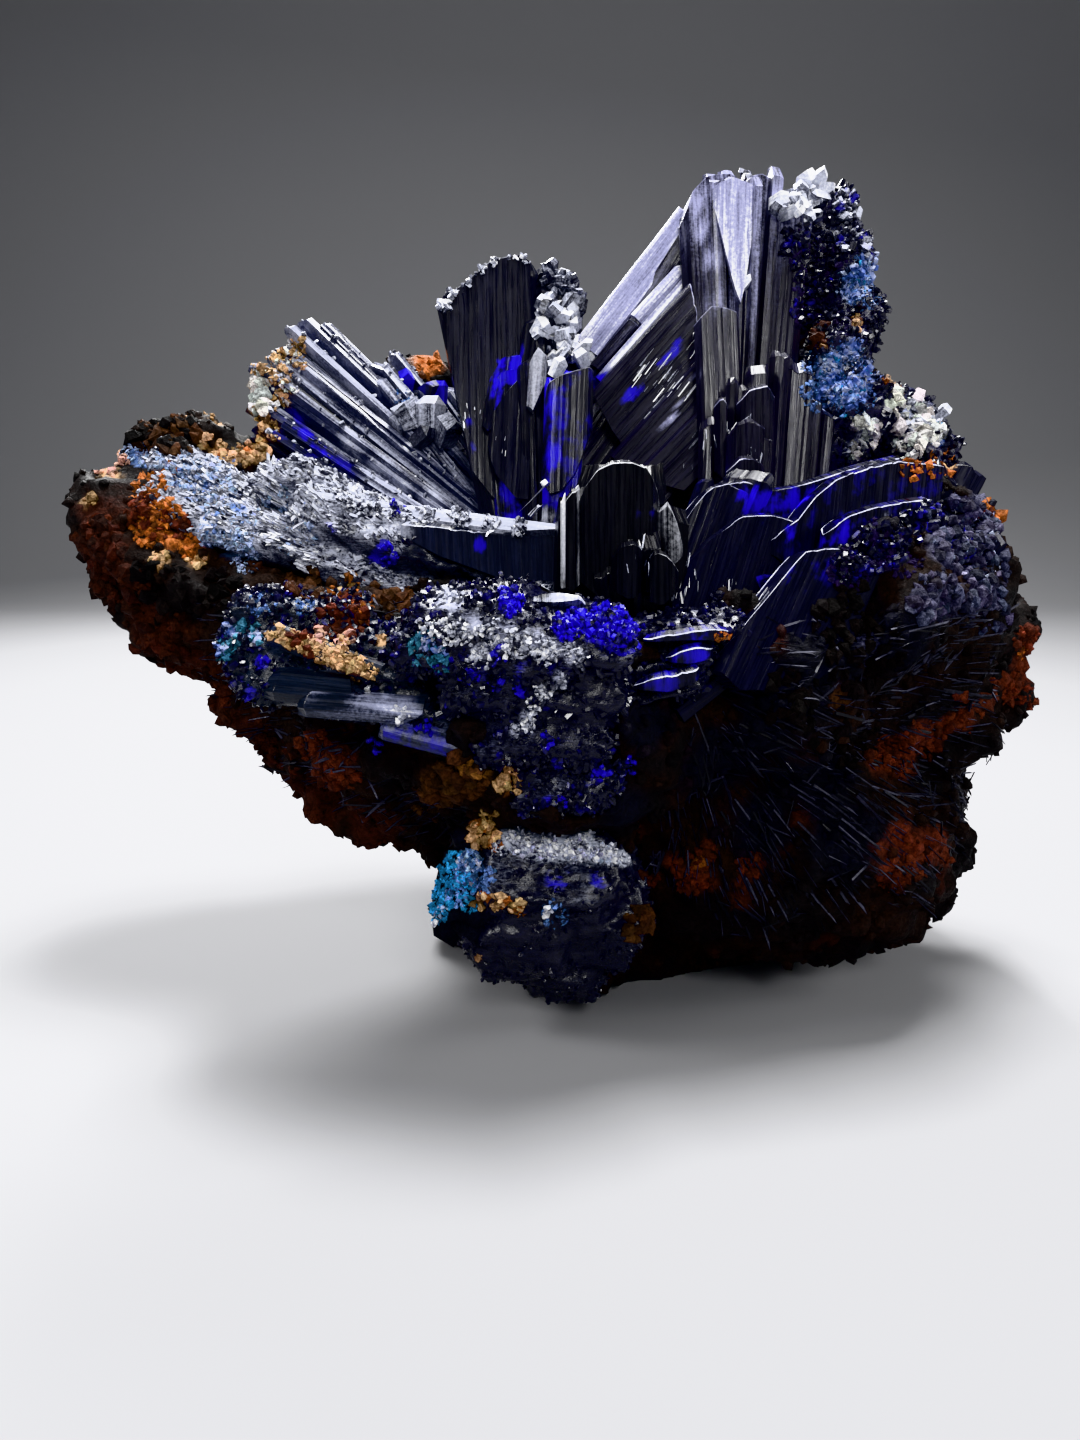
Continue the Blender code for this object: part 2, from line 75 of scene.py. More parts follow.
# A bladed crystal as in the solids, with the number of laths that it is made of, how much white and painted
# sheen its root and its tip carry, how blue, and whether its laths may carry a painted highlight line along one
# side.
Blade = namedtuple("Blade", "root tip width thick face taper slant laths low high blue edge")
BLADES = {
    "tall_crystal_fan": [
        ((-12, 11, 76), (13, 12, 113), 5, 6, (-0.5, -0.8, 0.4), 0.9, 0, 1, 0.18, 0.44, 0, 1),
        ((-11, 8, 73), (13, 9, 109), 5, 6, (-0.5, -0.8, 0.4), 0.9, 1, 1, 0.54, 0.33, 0, 1),
        ((-10, 5, 70), (14, 7, 105), 6, 6, (-0.4, -0.9, 0.3), 0.9, 1, 1, 0.3, 0.39, 0, 1),
        ((-9, 1, 66), (15, 5, 98), 9, 5, (-0.3, -0.9, 0.2), 0.9, 2, 2, 0.06, 0.14, 0.2, 1),
        ((-7, -2, 62), (17, 2, 91), 7, 5, (-0.3, -0.9, 0.2), 0.9, 1, 2, 0.06, 0.14, 0.25, 1),
        ((-3, -5, 60), (17, -2, 85), 5, 5, (-0.3, -0.9, 0.3), 0.9, 1, 2, 0.09, 0.17, 0.15, 1),
        ((15, -8, 58), (12, 8, 114), 8, 8, (-0.1, -1, 0.1), 0.6, 3, 4, -0.14, 0.42, 0, 0),
        ((16, -8, 58), (16, 7, 117.5), 8, 8, (0, -1, 0.1), 0.6, 0, 4, -0.14, 0.46, 0, 0),
        ((17, -8, 58), (21, 7, 117.5), 8, 8, (0.1, -1, 0.1), 0.6, 0, 4, -0.14, 0.36, 0, 0),
        ((18, -7, 58), (25, 9, 115), 8, 8, (0.3, -1, 0.1), 0.6, -3, 4, -0.14, 0.30, 0, 0),
        ((12, -13, 56), (13, -7, 84), 5, 6, (-0.2, -1, 0), 0.8, 2, 2, 0.01, 0.05, 0, 1),
        ((16, -14, 56), (17, -9, 88), 6, 5, (0, -1, 0), 0.9, 1, 2, 0.01, 0.06, 0, 1),
        ((16, -16, 56), (17, -12, 80), 6, 5, (0.1, -1, 0), 0.9, -1, 2, 0.01, 0.04, 0.1, 1),
        ((21, -12, 56), (23, -6, 90), 6, 6, (0.2, -1, 0), 0.8, -2, 2, 0.02, 0.10, 0, 1),
        ((25, -10, 56), (28, -3, 84), 6, 6, (0.3, -1, 0), 0.8, -2, 2, 0.02, 0.12, 0, 0),
    ],
    "centre_blades": [
        ((-14, 0, 58), (-19, 12, 104), 16, 5, (0.1, -1, 0.1), 0.45, 5, 1, 0.02, 0.08, 0.1, 0),
        ((-14, 4, 60), (-11, 15, 103), 11, 7, (0.2, -1, 0), 0.6, -2, 3, 0.02, 0.14, 0.1, 0),
        ((-15, -2, 60), (-17, 5, 89), 6, 4, (-0.3, -1, 0.1), 0.7, 2, 2, 0.04, 0.08, 0.5, 1),
        ((-11, -4, 57), (-12, 4, 94), 5, 4, (-0.2, -1, 0), 0.8, 3, 2, 0.04, 0.12, 0.2, 1),
        ((-9, -7, 57), (-7, -1, 89), 8, 5, (0.3, -1, 0.1), 0.6, 0, 2, 0.04, 0.12, 0.9, 1),
        ((-12, 4, 84), (-10, 5, 98), 6, 6, (-0.4, -1, 0.3), 0.8, 2, 2, 0.02, 0.12, 0, 0),
        ((-10, 2, 80), (-6, 5, 94), 5, 6, (0.5, -1, 0.3), 0.8, -2, 2, 0.02, 0.12, 0, 0),
    ],
    "left_crystal_sheaf": [
        ((-15, 8, 67), (-49, 18, 98), 7, 6, (0.1, -0.8, 0.6), 0.7, -1, 5, 0.26, 0.42, 0, 0),
        ((-15, 6, 65), (-52, 17, 95), 7, 6, (0.1, -0.8, 0.5), 0.7, -1, 5, 0.30, 0.34, 0, 0),
        ((-15, 4, 62), (-56, 15, 91), 7, 6, (0.1, -0.8, 0.5), 0.7, 1, 5, 0.24, 0.28, 0.1, 0),
        ((-15, 2, 60), (-56, 13, 85), 7, 6, (0.1, -0.9, 0.4), 0.7, -2, 5, 0.26, 0.10, 0.22, 0),
        ((-16, 0, 58), (-53, 10, 80), 8, 5, (0.1, -0.9, 0.3), 0.8, 3, 5, 0.24, 0.04, 0.34, 0),
        ((-15, 8, 66), (-38, 17, 92), 8, 7, (0.2, -0.8, 0.6), 0.9, 2, 5, 0.25, 0.35, 0.1, 0),
        ((-14, 10, 66), (-30, 18, 88), 9, 8, (0.3, -0.8, 0.5), 0.9, 0, 5, 0.15, 0.30, 0.1, 0),
    ],
    "bowl_prisms": [
        ((-3, -24, 48), (-1, -26, 75), 11, 8, (0, -1, 0), 0.9, 1, 1, 0, 0.01, 0.05, 1),
        ((-8, -26, 48), (-7, -27, 72), 4, 6, (-0.2, -1, 0), 0.9, 1, 1, 0.03, 0.06, 0, 1),
        ((-3, -28, 48), (-3, -31, 64), 5, 4, (0, -1, 0), 0.9, 0, 1, 0, 0.01, 0, 1),
        ((1, -27, 48), (1, -31, 67), 5, 5, (0.2, -1, 0), 0.9, 0, 1, 0, 0.03, 0, 1),
        ((5, -25, 48), (5, -27, 70), 4, 5, (0.3, -1, 0), 0.9, -1, 1, 0.03, 0.06, 0.1, 1),
    ],
    "right_wall_plates": [
        ((9, -21, 65), (45, -7, 72), 12, 5, (-0.3, -1, 0.2), 0.9, 2, 2, 0, 0.01, 0.6, 1),
        ((15, -25, 61), (46, -12, 69), 11, 5, (-0.3, -1, 0.2), 0.9, 3, 2, 0, 0.01, 0.5, 1),
        ((22, -28, 59), (44, -18, 67), 8, 5, (-0.3, -1, 0.2), 0.9, 2, 2, 0, 0.01, 0.35, 1),
        ((4, -24, 50), (14, -19, 74), 9, 5, (-0.4, -1, 0.1), 0.8, 2, 2, 0, 0.03, 0.2, 1),
        ((1, -29, 50), (26, -21, 65), 9, 5, (-0.4, -0.8, 0.5), 0.9, 1, 2, 0, 0.01, 0.1, 1),
        ((4, -33, 47), (24, -26, 62), 7, 5, (-0.4, -0.8, 0.5), 0.9, 1, 2, 0, 0.01, 0.1, 1),
        ((36, -12, 56), (47, -7, 76), 9, 8, (0.4, -1, 0.1), 0.9, 0, 2, 0.01, 0.03, 0.1, 0),
        ((37, -18, 52), (49, -13, 67), 10, 8, (0.4, -1, 0.1), 0.9, 0, 3, 0.01, 0.04, 0, 0),
    ],
}

# A plate whose outline the photograph shows: its upper and lower edges from left to right in pixels, a pixel
# on it with that place's Y, how its face turns (dY/dX) and leans (dY/dZ), the way its striae run in the
# photograph, its thickness, white and painted sheen at its foot and its head, blue, the width of the painted
# highlight rim along its top, and how many of its sides carry a painted highlight line.
Slab = namedtuple("Slab", "upper lower at turn lean axis thick low high blue rim edge", defaults=(0,))
SLABS = {
    "lying_plates": [
        ([(330, 512), (350, 503), (384, 498)], [(420, 524), (500, 532), (562, 529)], (480, 522, -20.5), -0.4,
         1.0, (-100, -13), 2.5, 0.45, 0.5, 0.03, 0),
        ([(398, 520), (440, 524), (500, 531), (562, 532)], [(398, 534), (440, 556), (500, 578), (562, 582)],
         (490, 550, -22), -0.3, 0.1, (-4, -100), 2, 0, 0.03, 0.12, 0.3),
    ],
    "tall_crystal_fan": [
        ([(678, 200), (690, 212), (697, 236)], [(582, 344), (590, 350), (598, 356)], (640, 275, 8), -0.3, 0.3,
         (62, -80), 4, 0.8, 0.75, 0, 0.4),
        ([(680, 256), (686, 262), (691, 272)], [(629, 312), (635, 317), (642, 323)], (660, 288, 5.2), -0.3, 0.3,
         (50, -54), 2.5, 1.25, 1.25, 0, 0),
        ([(628, 314), (634, 318), (640, 323)], [(588, 362), (594, 366), (601, 371)], (618, 345, 5.2), -0.3, 0.3,
         (50, -58), 2.5, 0.15, 0.3, 0, 0.2),
        ([(687, 268), (691, 273), (695, 279)], [(596, 377), (600, 381), (605, 385)], (645, 330, 4.0), -0.3, 0.3,
         (60, -68), 2.5, 1.1, 1.15, 0, 0),
        ([(692, 280), (699, 310), (706, 352)], [(590, 388), (612, 430), (640, 468)], (650, 380, -0.8), -0.15,
         0.15, (60, -66), 4, 0.03, 0.16, 0.05, 0.25),
        ([(700, 352), (706, 376), (710, 400)], [(618, 462), (636, 474), (655, 484)], (660, 420, -3.8), -0.15,
         0.15, (60, -66), 4, 0.02, 0.10, 0.05, 0.25),
        ([(706, 398), (710, 416), (714, 434)], [(650, 478), (668, 486), (690, 492)], (680, 440, -6.2), -0.15,
         0.15, (60, -60), 4, 0.02, 0.08, 0, 0.25),
        ([(684, 215), (692, 188), (708, 172), (730, 170), (742, 176)],
         [(690, 330), (700, 440), (712, 500), (742, 505)], (714, 260, 2.2), 0.15, 0.27, (-6, -100), 5, -0.15,
         0.5, 0, 0.5),
        ([(712, 182), (735, 174), (759, 184)], [(713, 200), (734, 285), (741, 303), (745, 285), (758, 200)],
         (738, 230, 1.6), -0.1, 0.27, (2, -100), 3, 1.0, 0.7, 0, 0.3),
        ([(738, 176), (762, 170), (778, 178), (786, 200)], [(745, 500), (765, 508), (790, 470)],
         (762, 260, 2.4), -0.2, 0.27, (8, -100), 5, -0.2, 0.42, 0, 0.6),
        ([(696, 318), (712, 302), (728, 304), (742, 310)], [(702, 440), (722, 470), (742, 470)],
         (722, 380, -6.5), 0.1, 0.2, (-4, -100), 3, -0.05, 0.22, 0, 0.6),
        ([(716, 402), (722, 394), (730, 402)], [(716, 470), (724, 480), (730, 476)], (722, 430, -13.5), 0, 0.05,
         (0, -100), 3, -0.05, 0.12, 0, 0.8),
        ([(738, 400), (750, 386), (768, 382), (776, 392)], [(738, 470), (756, 490), (776, 470)],
         (756, 425, -13.2), 0, 0, (2, -100), 3, -0.05, 0.03, 0.1, 0.9),
        ([(728, 434), (738, 422), (752, 417), (766, 424)], [(728, 480), (745, 495), (766, 490)],
         (748, 450, -15.8), 0, 0, (2, -100), 3, -0.05, 0.02, 0.18, 0.9),
        ([(728, 468), (740, 456), (752, 454), (766, 462)], [(728, 500), (748, 510), (766, 505)],
         (748, 480, -17.8), 0, 0, (2, -100), 3, -0.05, 0.02, 0.12, 0.9),
        ([(770, 388), (782, 380), (796, 392)], [(770, 480), (784, 500), (796, 490)], (784, 430, -8), 0, 0.2,
         (4, -100), 4, -0.05, 0.15, 0, 0.6),
    ],
    "centre_blades": [
        ([(442, 312), (445, 300), (456, 286), (478, 268), (494, 255), (522, 251), (536, 263)],
         [(442, 330), (449, 362), (460, 412), (472, 470), (495, 500), (522, 502), (536, 470)], (490, 300, 8.2),
         0.05, 0.27, (-2, -100), 4, 0, 0.06, 0.06, 0.8),
        ([(534, 264), (548, 265), (566, 271), (577, 280), (584, 302)], [(534, 400), (560, 380), (584, 335)],
         (560, 300, 12), 0.1, 0.25, (3, -100), 4, 0.1, 0.45, 0.05, 0.8),
        ([(481, 408), (490, 376), (503, 354), (520, 352), (528, 364)],
         [(481, 424), (489, 432), (507, 402), (528, 384)], (505, 375, 3.5), -0.2, 0.3, (12, -100), 3, 0, 0, 1,
         0.3),
        ([(486, 436), (490, 414), (507, 388), (528, 366), (534, 352)],
         [(486, 446), (496, 474), (516, 498), (534, 500)], (508, 430, 0.8), -0.2, 0.3, (5, -100), 3, 0, 0.02,
         0.05, 0.45),
        ([(530, 356), (538, 344), (547, 352)], [(528, 404), (532, 412), (546, 380)], (537, 370, 0), 0, 0.25,
         (8, -100), 2, 0.5, 0.7, 0, 0.3),
        ([(544, 392), (548, 380), (560, 372), (576, 367), (593, 363)],
         [(543, 482), (550, 494), (562, 490), (577, 470), (593, 425)], (560, 420, -4.8), 0, 0.2, (3, -100), 4,
         0, 0.04, 0.34, 0.6),
        ([(514, 508), (530, 494), (542, 480)], [(518, 512), (533, 498), (544, 486)], (530, 496, -9), 0, 0.2,
         (28, -26), 1.2, 1.2, 1.2, 0, 0),
        ([(526, 516), (538, 502), (548, 490)], [(531, 517), (541, 506), (551, 494)], (538, 504, -11), 0, 0.2,
         (22, -26), 1.2, 1.1, 1.1, 0, 0),
    ],
    "bowl_prisms": [
        ([(578, 500), (584, 484), (597, 466), (612, 459), (632, 458), (648, 464), (657, 480), (661, 496)],
         [(578, 580), (600, 598), (640, 590), (661, 560)], (615, 520, -31.6), 0, 0.05, (0, -100), 4, 0, 0.02,
         0.05, 0.55, 2),
        ([(562, 501), (563.5, 496), (565.5, 492)], [(560.5, 587), (562, 589), (563.5, 588)], (563, 540, -33.4),
         0, 0.05, (0, -100), 0.6, 0.6, 1.0, 0, 0),
        ([(563, 502), (570, 490), (580, 484)], [(563, 585), (572, 592), (580, 585)], (572, 530, -31.5), 0, 0.05,
         (0, -100), 2, 0, 0.05, 0, 0.5, 1),
        ([(660, 508), (668, 500), (676, 516), (684, 540)], [(660, 560), (670, 568), (684, 556)],
         (670, 530, -30.5), 0, 0.05, (0, -100), 2, 0.25, 0.4, 0, 0.3),
        ([(612, 556), (620, 544), (634, 540), (646, 548)], [(612, 590), (630, 600), (646, 590)],
         (630, 566, -34.2), 0, 0.05, (0, -100), 2.5, 0, 0.05, 0, 0.45),
        ([(646, 562), (656, 548), (668, 552), (680, 566)], [(646, 600), (662, 606), (680, 590)],
         (662, 572, -34.8), 0, 0.05, (0, -100), 2.5, 0, 0.08, 0, 0.45),
    ],
    "right_wall_plates": [
        ([(732, 480), (745, 478), (776, 487), (805, 481), (822, 476), (849, 467), (876, 460), (902, 454)],
         [(732, 530), (770, 545), (830, 530), (902, 500)], (800, 495, -19.5), 0.35, 0.1, (6, -100), 3, 0, 0.02,
         0.3, 0.6),
        ([(770, 540), (782, 528), (799, 516), (808, 504), (817, 493), (840, 474), (870, 464), (900, 458),
          (942, 462)],
         [(770, 552), (800, 575), (850, 570), (942, 540)], (840, 500, -22), 0.35, 0.1, (10, -100), 3, 0, 0.02,
         0.25, 0.45),
        ([(830, 530), (838, 521), (849, 513), (870, 506), (888, 501), (930, 496)],
         [(830, 556), (850, 580), (890, 580), (930, 560)], (870, 520, -25.5), 0.35, 0.1, (10, -100), 3, 0, 0.02,
         0.3, 0.45),
        ([(650, 566), (662, 551), (684, 520), (700, 498), (712, 485), (730, 480)],
         [(650, 580), (670, 600), (700, 590), (730, 560)], (695, 530, -25.5), 0.25, 0.15, (35, -100), 3, 0,
         0.02, 0, 0.4),
        ([(690, 560), (712, 535), (745, 512), (775, 512), (800, 520)],
         [(690, 610), (720, 620), (760, 600), (800, 560)], (740, 550, -26.5), 0.3, 0.15, (30, -100), 3, 0, 0.02,
         0.05, 0.2),
        ([(722, 655), (732, 640), (752, 614), (779, 582), (806, 549), (826, 545), (850, 546)],
         [(722, 672), (740, 690), (800, 690), (850, 660)], (780, 610, -33.8), 0.3, 0.2, (45, -100), 4, 0, 0.02,
         0.10, 0.5),
    ],
    "front_ledge_crystals": [
        ([(645, 637), (660, 633), (690, 627), (715, 624), (733, 628)], [(645, 642), (690, 640), (733, 640)],
         (690, 632, -37.5), 0.1, 0, (3, -100), 2.5, 0, 0.02, 0.35, 0.6),
        ([(668, 655), (680, 648), (700, 643), (716, 645)], [(668, 662), (690, 664), (716, 658)],
         (690, 652, -38), 0.1, 0, (3, -100), 2.5, 0, 0.02, 0.4, 0.6),
        ([(636, 683), (650, 676), (680, 670), (702, 664)], [(636, 690), (670, 692), (702, 680)],
         (668, 678, -39), 0.1, 0, (3, -100), 2.5, 0, 0.02, 0.35, 0.6),
        ([(594, 620), (604, 610), (624, 608), (634, 618)], [(594, 640), (610, 650), (634, 642)],
         (612, 630, -43.4), 0.05, 0.3, (20, -100), 3, 0, 0, 0.9, 0),
        ([(548, 622), (560, 612), (585, 606)], [(548, 634), (565, 640), (585, 640)], (566, 624, -42.2), 0.05,
         0.3, (20, -100), 3, 0, 0, 0.8, 0),
        ([(496, 598), (508, 590), (524, 592)], [(496, 612), (508, 620), (526, 616)], (510, 604, -40.5), 0.05,
         0.3, (0, -100), 3, 0, 0, 1.2, 0.3),
        ([(522, 597), (540, 591), (562, 589), (586, 593)], [(522, 600), (550, 602), (586, 599)],
         (552, 595, -39.6), 0.05, 0.9, (0, -100), 2, 0.5, 0.9, 0, 0),
    ],
    "shelf_blades": [
        ([(296, 702), (300, 693), (308, 686)], [(400, 724), (422, 716), (424, 704)], (360, 704, -38.4), 0, 0.3,
         (-100, -8), 2.5, 0.5, 0.4, 0.15, 0),
        ([(262, 690), (266, 676), (276, 664)], [(330, 706), (352, 694), (350, 680)], (300, 684, -37.4), 0, 0.3,
         (-100, -10), 2.5, 0.05, 0.1, 0.1, 0),
        ([(264, 634), (268, 625), (276, 621)], [(362, 680), (378, 677), (383, 664)], (322, 650, -38.2), 0, 0.3,
         (-100, -38), 2.5, 0.02, 0.05, 0, 0),
        ([(380, 724), (386, 716), (394, 712)], [(460, 760), (470, 748), (468, 736)], (425, 736, -38.2), 0, 0.3,
         (-100, -26), 2.5, 0.2, 0.3, 0.4, 0),
    ],
}

# Node, its deep colour, the colour of its white crust and painted sheen, and how strongly it reflects.
CRYSTAL_GROUPS = [
    ("tall_crystal_fan", (0.002, 0.0015, 0.007), (0.27, 0.275, 0.44), 0.33),
    ("centre_blades", (0.001, 0.001, 0.005), (0.40, 0.41, 0.48), 0.20),
    ("left_crystal_sheaf", (0.002, 0.003, 0.02), (0.42, 0.44, 0.56), 0.5),
    ("lying_plates", (0.002, 0.003, 0.012), (0.40, 0.42, 0.52), 0.5),
    ("bowl_prisms", (0.0006, 0.0006, 0.002), (0.50, 0.51, 0.56), 0.22),
    ("right_wall_plates", (0.0006, 0.0006, 0.006), (0.45, 0.46, 0.60), 0.22),
    ("front_ledge_crystals", (0.001, 0.001, 0.008), (0.45, 0.47, 0.62), 0.4),
    ("shelf_blades", (0.001, 0.003, 0.010), (0.30, 0.32, 0.46), 0.4),
    ("foot_nodule", (0.002, 0.002, 0.008), (0.45, 0.48, 0.58), 0.4),
    ("shoulder_druse", (0.003, 0.002, 0.016), (0.36, 0.40, 0.58), 0.4),
]
# The crystal's own blue, painted vivid where light would shine through its thin parts.
VIVID_BLUE = (0.010, 0.003, 0.42)

# The nodes that are skins under small crystals: how streaky they are, how much white and painted sheen they
# carry, and how blue.
SKINS = {
    "foot_nodule": (0.2, 0.10, 0.05),
    "shoulder_druse": (0.1, 0.10, 0.10),
    "lying_plates": (0.8, 0.42, 0.05),
    "front_ledge_crystals": (0.3, 0.12, 0.16),
    "shelf_blades": (0.3, 0.08, 0.10),
}

# Single bigger crystals: the pixel and the place's Y, the length and the width, how much white and painted
# sheen, and how blue.
SINGLES = [
    ((545, 306, 8), 2.4, 2.0, 1.1, 0), ((552, 318, 7), 2.0, 1.8, 0.9, 0), ((566, 316, 6), 4.2, 3.4, 1.1, 0),
    ((573, 324, 5), 3.4, 3.0, 1.2, 0), ((560, 330, 5), 3.0, 2.6, 1.0, 0), ((553, 343, 4), 2.8, 2.2, 0.6, 0),
    ((568, 345, 3), 2.6, 2.2, 0.9, 0), ((578, 352, 2), 2.6, 2.4, 1.1, 0), ((562, 362, 0), 2.6, 1.8, 1.1, 0),
    ((556, 372, -2), 2.2, 1.6, 1.1, 0), ((583, 362, 1), 2.0, 1.8, 1.1, 0), ((540, 336, 6), 2.2, 1.6, 0.8, 0),
    ((783, 212, 12), 3.0, 2.6, 1.2, 0), ((790, 199, 12), 3.2, 2.6, 1.0, 0), ((804, 194, 12), 3.4, 2.8, 1.2, 0),
    ((816, 190, 12), 3.2, 2.4, 1.1, 0), ((824, 200, 12), 3.0, 2.4, 1.1, 0), ((800, 200, 10), 2.6, 2.2, 1.1, 0),
    ((812, 202, 10), 2.4, 2.0, 0.7, 0), ((803, 222, 9), 2.0, 1.6, 1.1, 0), ((856, 217, 11), 1.8, 1.4, 1.1, 0),
    ((742, 289, 0), 2.4, 1.2, 1.2, 0), ((412, 412, 12), 4.6, 4.2, 0.75, 0), ((430, 424, 10), 4.2, 3.8, 0.7, 0),
    ((445, 436, 8), 3.6, 3.2, 0.7, 0), ((402, 428, 11), 3.0, 2.6, 0.9, 0), ((420, 440, 8), 3.0, 2.6, 0.9, 0),
    ((405, 388, 16), 3.0, 2.4, 0.1, 0.9), ((425, 392, 15), 3.0, 2.4, 0.1, 0.7),
    ((440, 398, 14), 2.6, 2.2, 0.1, 0.9), ((912, 412, 2), 3.0, 2.4, 1.1, 0), ((925, 430, 1), 3.2, 2.6, 1.1, 0),
    ((905, 440, 0), 3.2, 2.4, 1.0, 0), ((868, 430, 0), 4.0, 2.0, 1.0, 0), ((855, 448, -1), 4.0, 2.0, 1.0, 0),
    ((938, 416, 2), 2.0, 1.6, 0.9, 0),
]

# Amounts of white and painted sheen, blue, rust and pale crust on a crystal's surface, and whether a mark
# darkens what it finds, on dark faces and as painted shade.
Tone = namedtuple("Tone", "silver blue rust pale dark", defaults=(0, 0, 0, 0, 0))
# Tones for the marks: white crust with painted sheen at three strengths, the strongest also for painted glints;
# blue at two strengths; rust; pale crust; and a dark tone that clears the others, on dark faces and as painted
# shade.
SHEEN_AND_WHITE, BRIGHT, DIM = Tone(silver=0.75), Tone(silver=1.05), Tone(silver=0.4)
BLUE, INK, CRUST = Tone(blue=1.0), Tone(blue=0.42), Tone(rust=0.9)
PALE, BLACK_AND_SHADE = Tone(pale=0.9), Tone(dark=1)

# Coloured places on the crystals: tone, then x, y and reach in pixels.
CRYSTAL_MARKS = [
    # Dark faces and painted shade, which clear white, sheen, blue and crust to the crystal's deep colour.
    (BLACK_AND_SHADE, [
        (480, 330, 45), (490, 410, 30), (582, 400, 16), (590, 430, 12), (740, 430, 26), (700, 440, 18),
        (762, 475, 22), (800, 285, 24), (812, 305, 20), (700, 560, 26), (690, 590, 22), (740, 590, 22),
        (720, 540, 14), (610, 530, 40), (640, 560, 30), (600, 700, 35), (640, 720, 32), (450, 562, 26),
        (500, 578, 26), (540, 588, 16), (440, 536, 8), (530, 950, 36), (600, 930, 26), (290, 700, 20),
        (335, 695, 18), (870, 600, 50), (900, 560, 30), (330, 672, 12), (390, 676, 12), (440, 690, 12),
        (470, 720, 20), (430, 700, 14), (560, 720, 16), (500, 950, 30), (570, 950, 30), (620, 900, 20),
        (520, 925, 16), (560, 935, 16), (600, 960, 26), (420, 556, 20), (470, 556, 22), (530, 556, 22)]),
    # Painted glints.
    (BRIGHT, [
        (742, 289, 5), (849, 534, 4), (883, 535, 6), (899, 496, 4), (911, 516, 3), (893, 513, 3), (435, 922, 5),
        (549, 911, 4), (402, 714, 6), (690, 380, 4), (700, 396, 4), (681, 402, 3), (672, 418, 3), (660, 430, 3),
        (698, 372, 3)]),
    # White crust and painted sheen.
    (SHEEN_AND_WHITE, [
        (700, 200, 15), (700, 228, 14), (711, 256, 12), (360, 495, 20), (430, 502, 20), (545, 520, 12),
        (400, 530, 16), (460, 524, 10), (330, 510, 16), (380, 470, 22), (400, 490, 18), (350, 440, 16),
        (300, 345, 12), (450, 600, 16), (470, 625, 18), (500, 635, 20), (530, 642, 20), (555, 648, 13),
        (480, 650, 12), (575, 656, 14), (545, 690, 11), (560, 680, 10), (525, 716, 8), (515, 730, 7),
        (512, 838, 15), (528, 843, 16), (544, 847, 17), (560, 848, 17), (576, 850, 16), (592, 852, 15),
        (608, 855, 13), (624, 858, 11), (560, 832, 10), (585, 836, 10), (915, 420, 22), (870, 430, 12),
        (852, 450, 10), (935, 415, 12), (800, 190, 26), (552, 397, 4)]),
    # Fainter painted sheen.
    (DIM, [
        (760, 220, 14), (560, 285, 18), (720, 300, 14), (330, 380, 18), (370, 400, 14), (350, 705, 12),
        (380, 724, 13), (440, 730, 12), (880, 560, 8), (705, 300, 10)]),
    (BLUE, [
        (546, 542, 9), (745, 494, 9), (765, 498, 11), (785, 500, 11), (803, 497, 9), (790, 532, 7),
        (806, 514, 7), (822, 500, 8), (840, 487, 8), (505, 368, 13), (517, 357, 8), (497, 392, 8),
        (553, 402, 9), (553, 430, 10), (555, 455, 10), (551, 472, 8), (677, 347, 7), (664, 362, 7),
        (634, 393, 8), (598, 381, 6), (612, 379, 5), (755, 496, 11), (775, 499, 12), (795, 497, 12),
        (812, 494, 8), (800, 515, 7), (825, 505, 7), (820, 545, 7), (833, 541, 7), (844, 537, 6), (638, 503, 9),
        (512, 602, 13), (566, 626, 16), (600, 630, 20), (620, 630, 18), (397, 510, 8), (375, 557, 9),
        (388, 563, 8), (383, 545, 7), (305, 435, 9), (315, 446, 9), (300, 420, 7), (480, 546, 7), (510, 546, 7),
        (540, 545, 8), (262, 662, 8), (250, 692, 7), (705, 655, 6), (700, 640, 5)]),
    (INK, [
        (830, 490, 14), (860, 478, 14), (885, 470, 12), (850, 502, 12), (845, 520, 9), (866, 512, 9),
        (930, 525, 16), (800, 575, 22), (830, 570, 22), (852, 560, 14), (870, 540, 18), (890, 548, 16),
        (760, 520, 14), (470, 420, 9), (475, 450, 9), (650, 515, 9), (455, 665, 9), (470, 672, 10),
        (490, 682, 10), (520, 666, 12), (540, 682, 9), (500, 656, 10), (530, 738, 10), (560, 762, 12),
        (590, 776, 14), (620, 770, 12), (640, 756, 10), (550, 800, 10), (560, 880, 20), (600, 880, 14),
        (845, 205, 16), (870, 240, 14), (330, 462, 12), (330, 530, 10)]),
    (PALE, [
        (858, 280, 18), (868, 262, 12), (850, 296, 10), (830, 370, 22), (850, 392, 22), (872, 366, 16),
        (820, 398, 16), (850, 350, 14), (938, 440, 8), (235, 630, 11), (255, 636, 9), (224, 650, 8),
        (460, 870, 12), (474, 858, 9), (446, 890, 13), (440, 908, 8), (425, 642, 11), (440, 652, 8),
        (425, 745, 9)]),
    (CRUST, [
        (258, 385, 9), (268, 402, 9), (265, 425, 9), (256, 366, 7), (812, 336, 8), (822, 346, 7), (856, 322, 6),
        (890, 380, 7), (896, 390, 6), (908, 468, 8), (926, 465, 6), (950, 462, 8), (957, 470, 6),
        (485, 836, 13), (492, 816, 8), (480, 899, 6), (500, 904, 6), (520, 907, 6), (478, 958, 5),
        (330, 655, 14), (300, 641, 12), (356, 670, 11), (345, 636, 9), (381, 641, 8), (728, 640, 4)]),
]

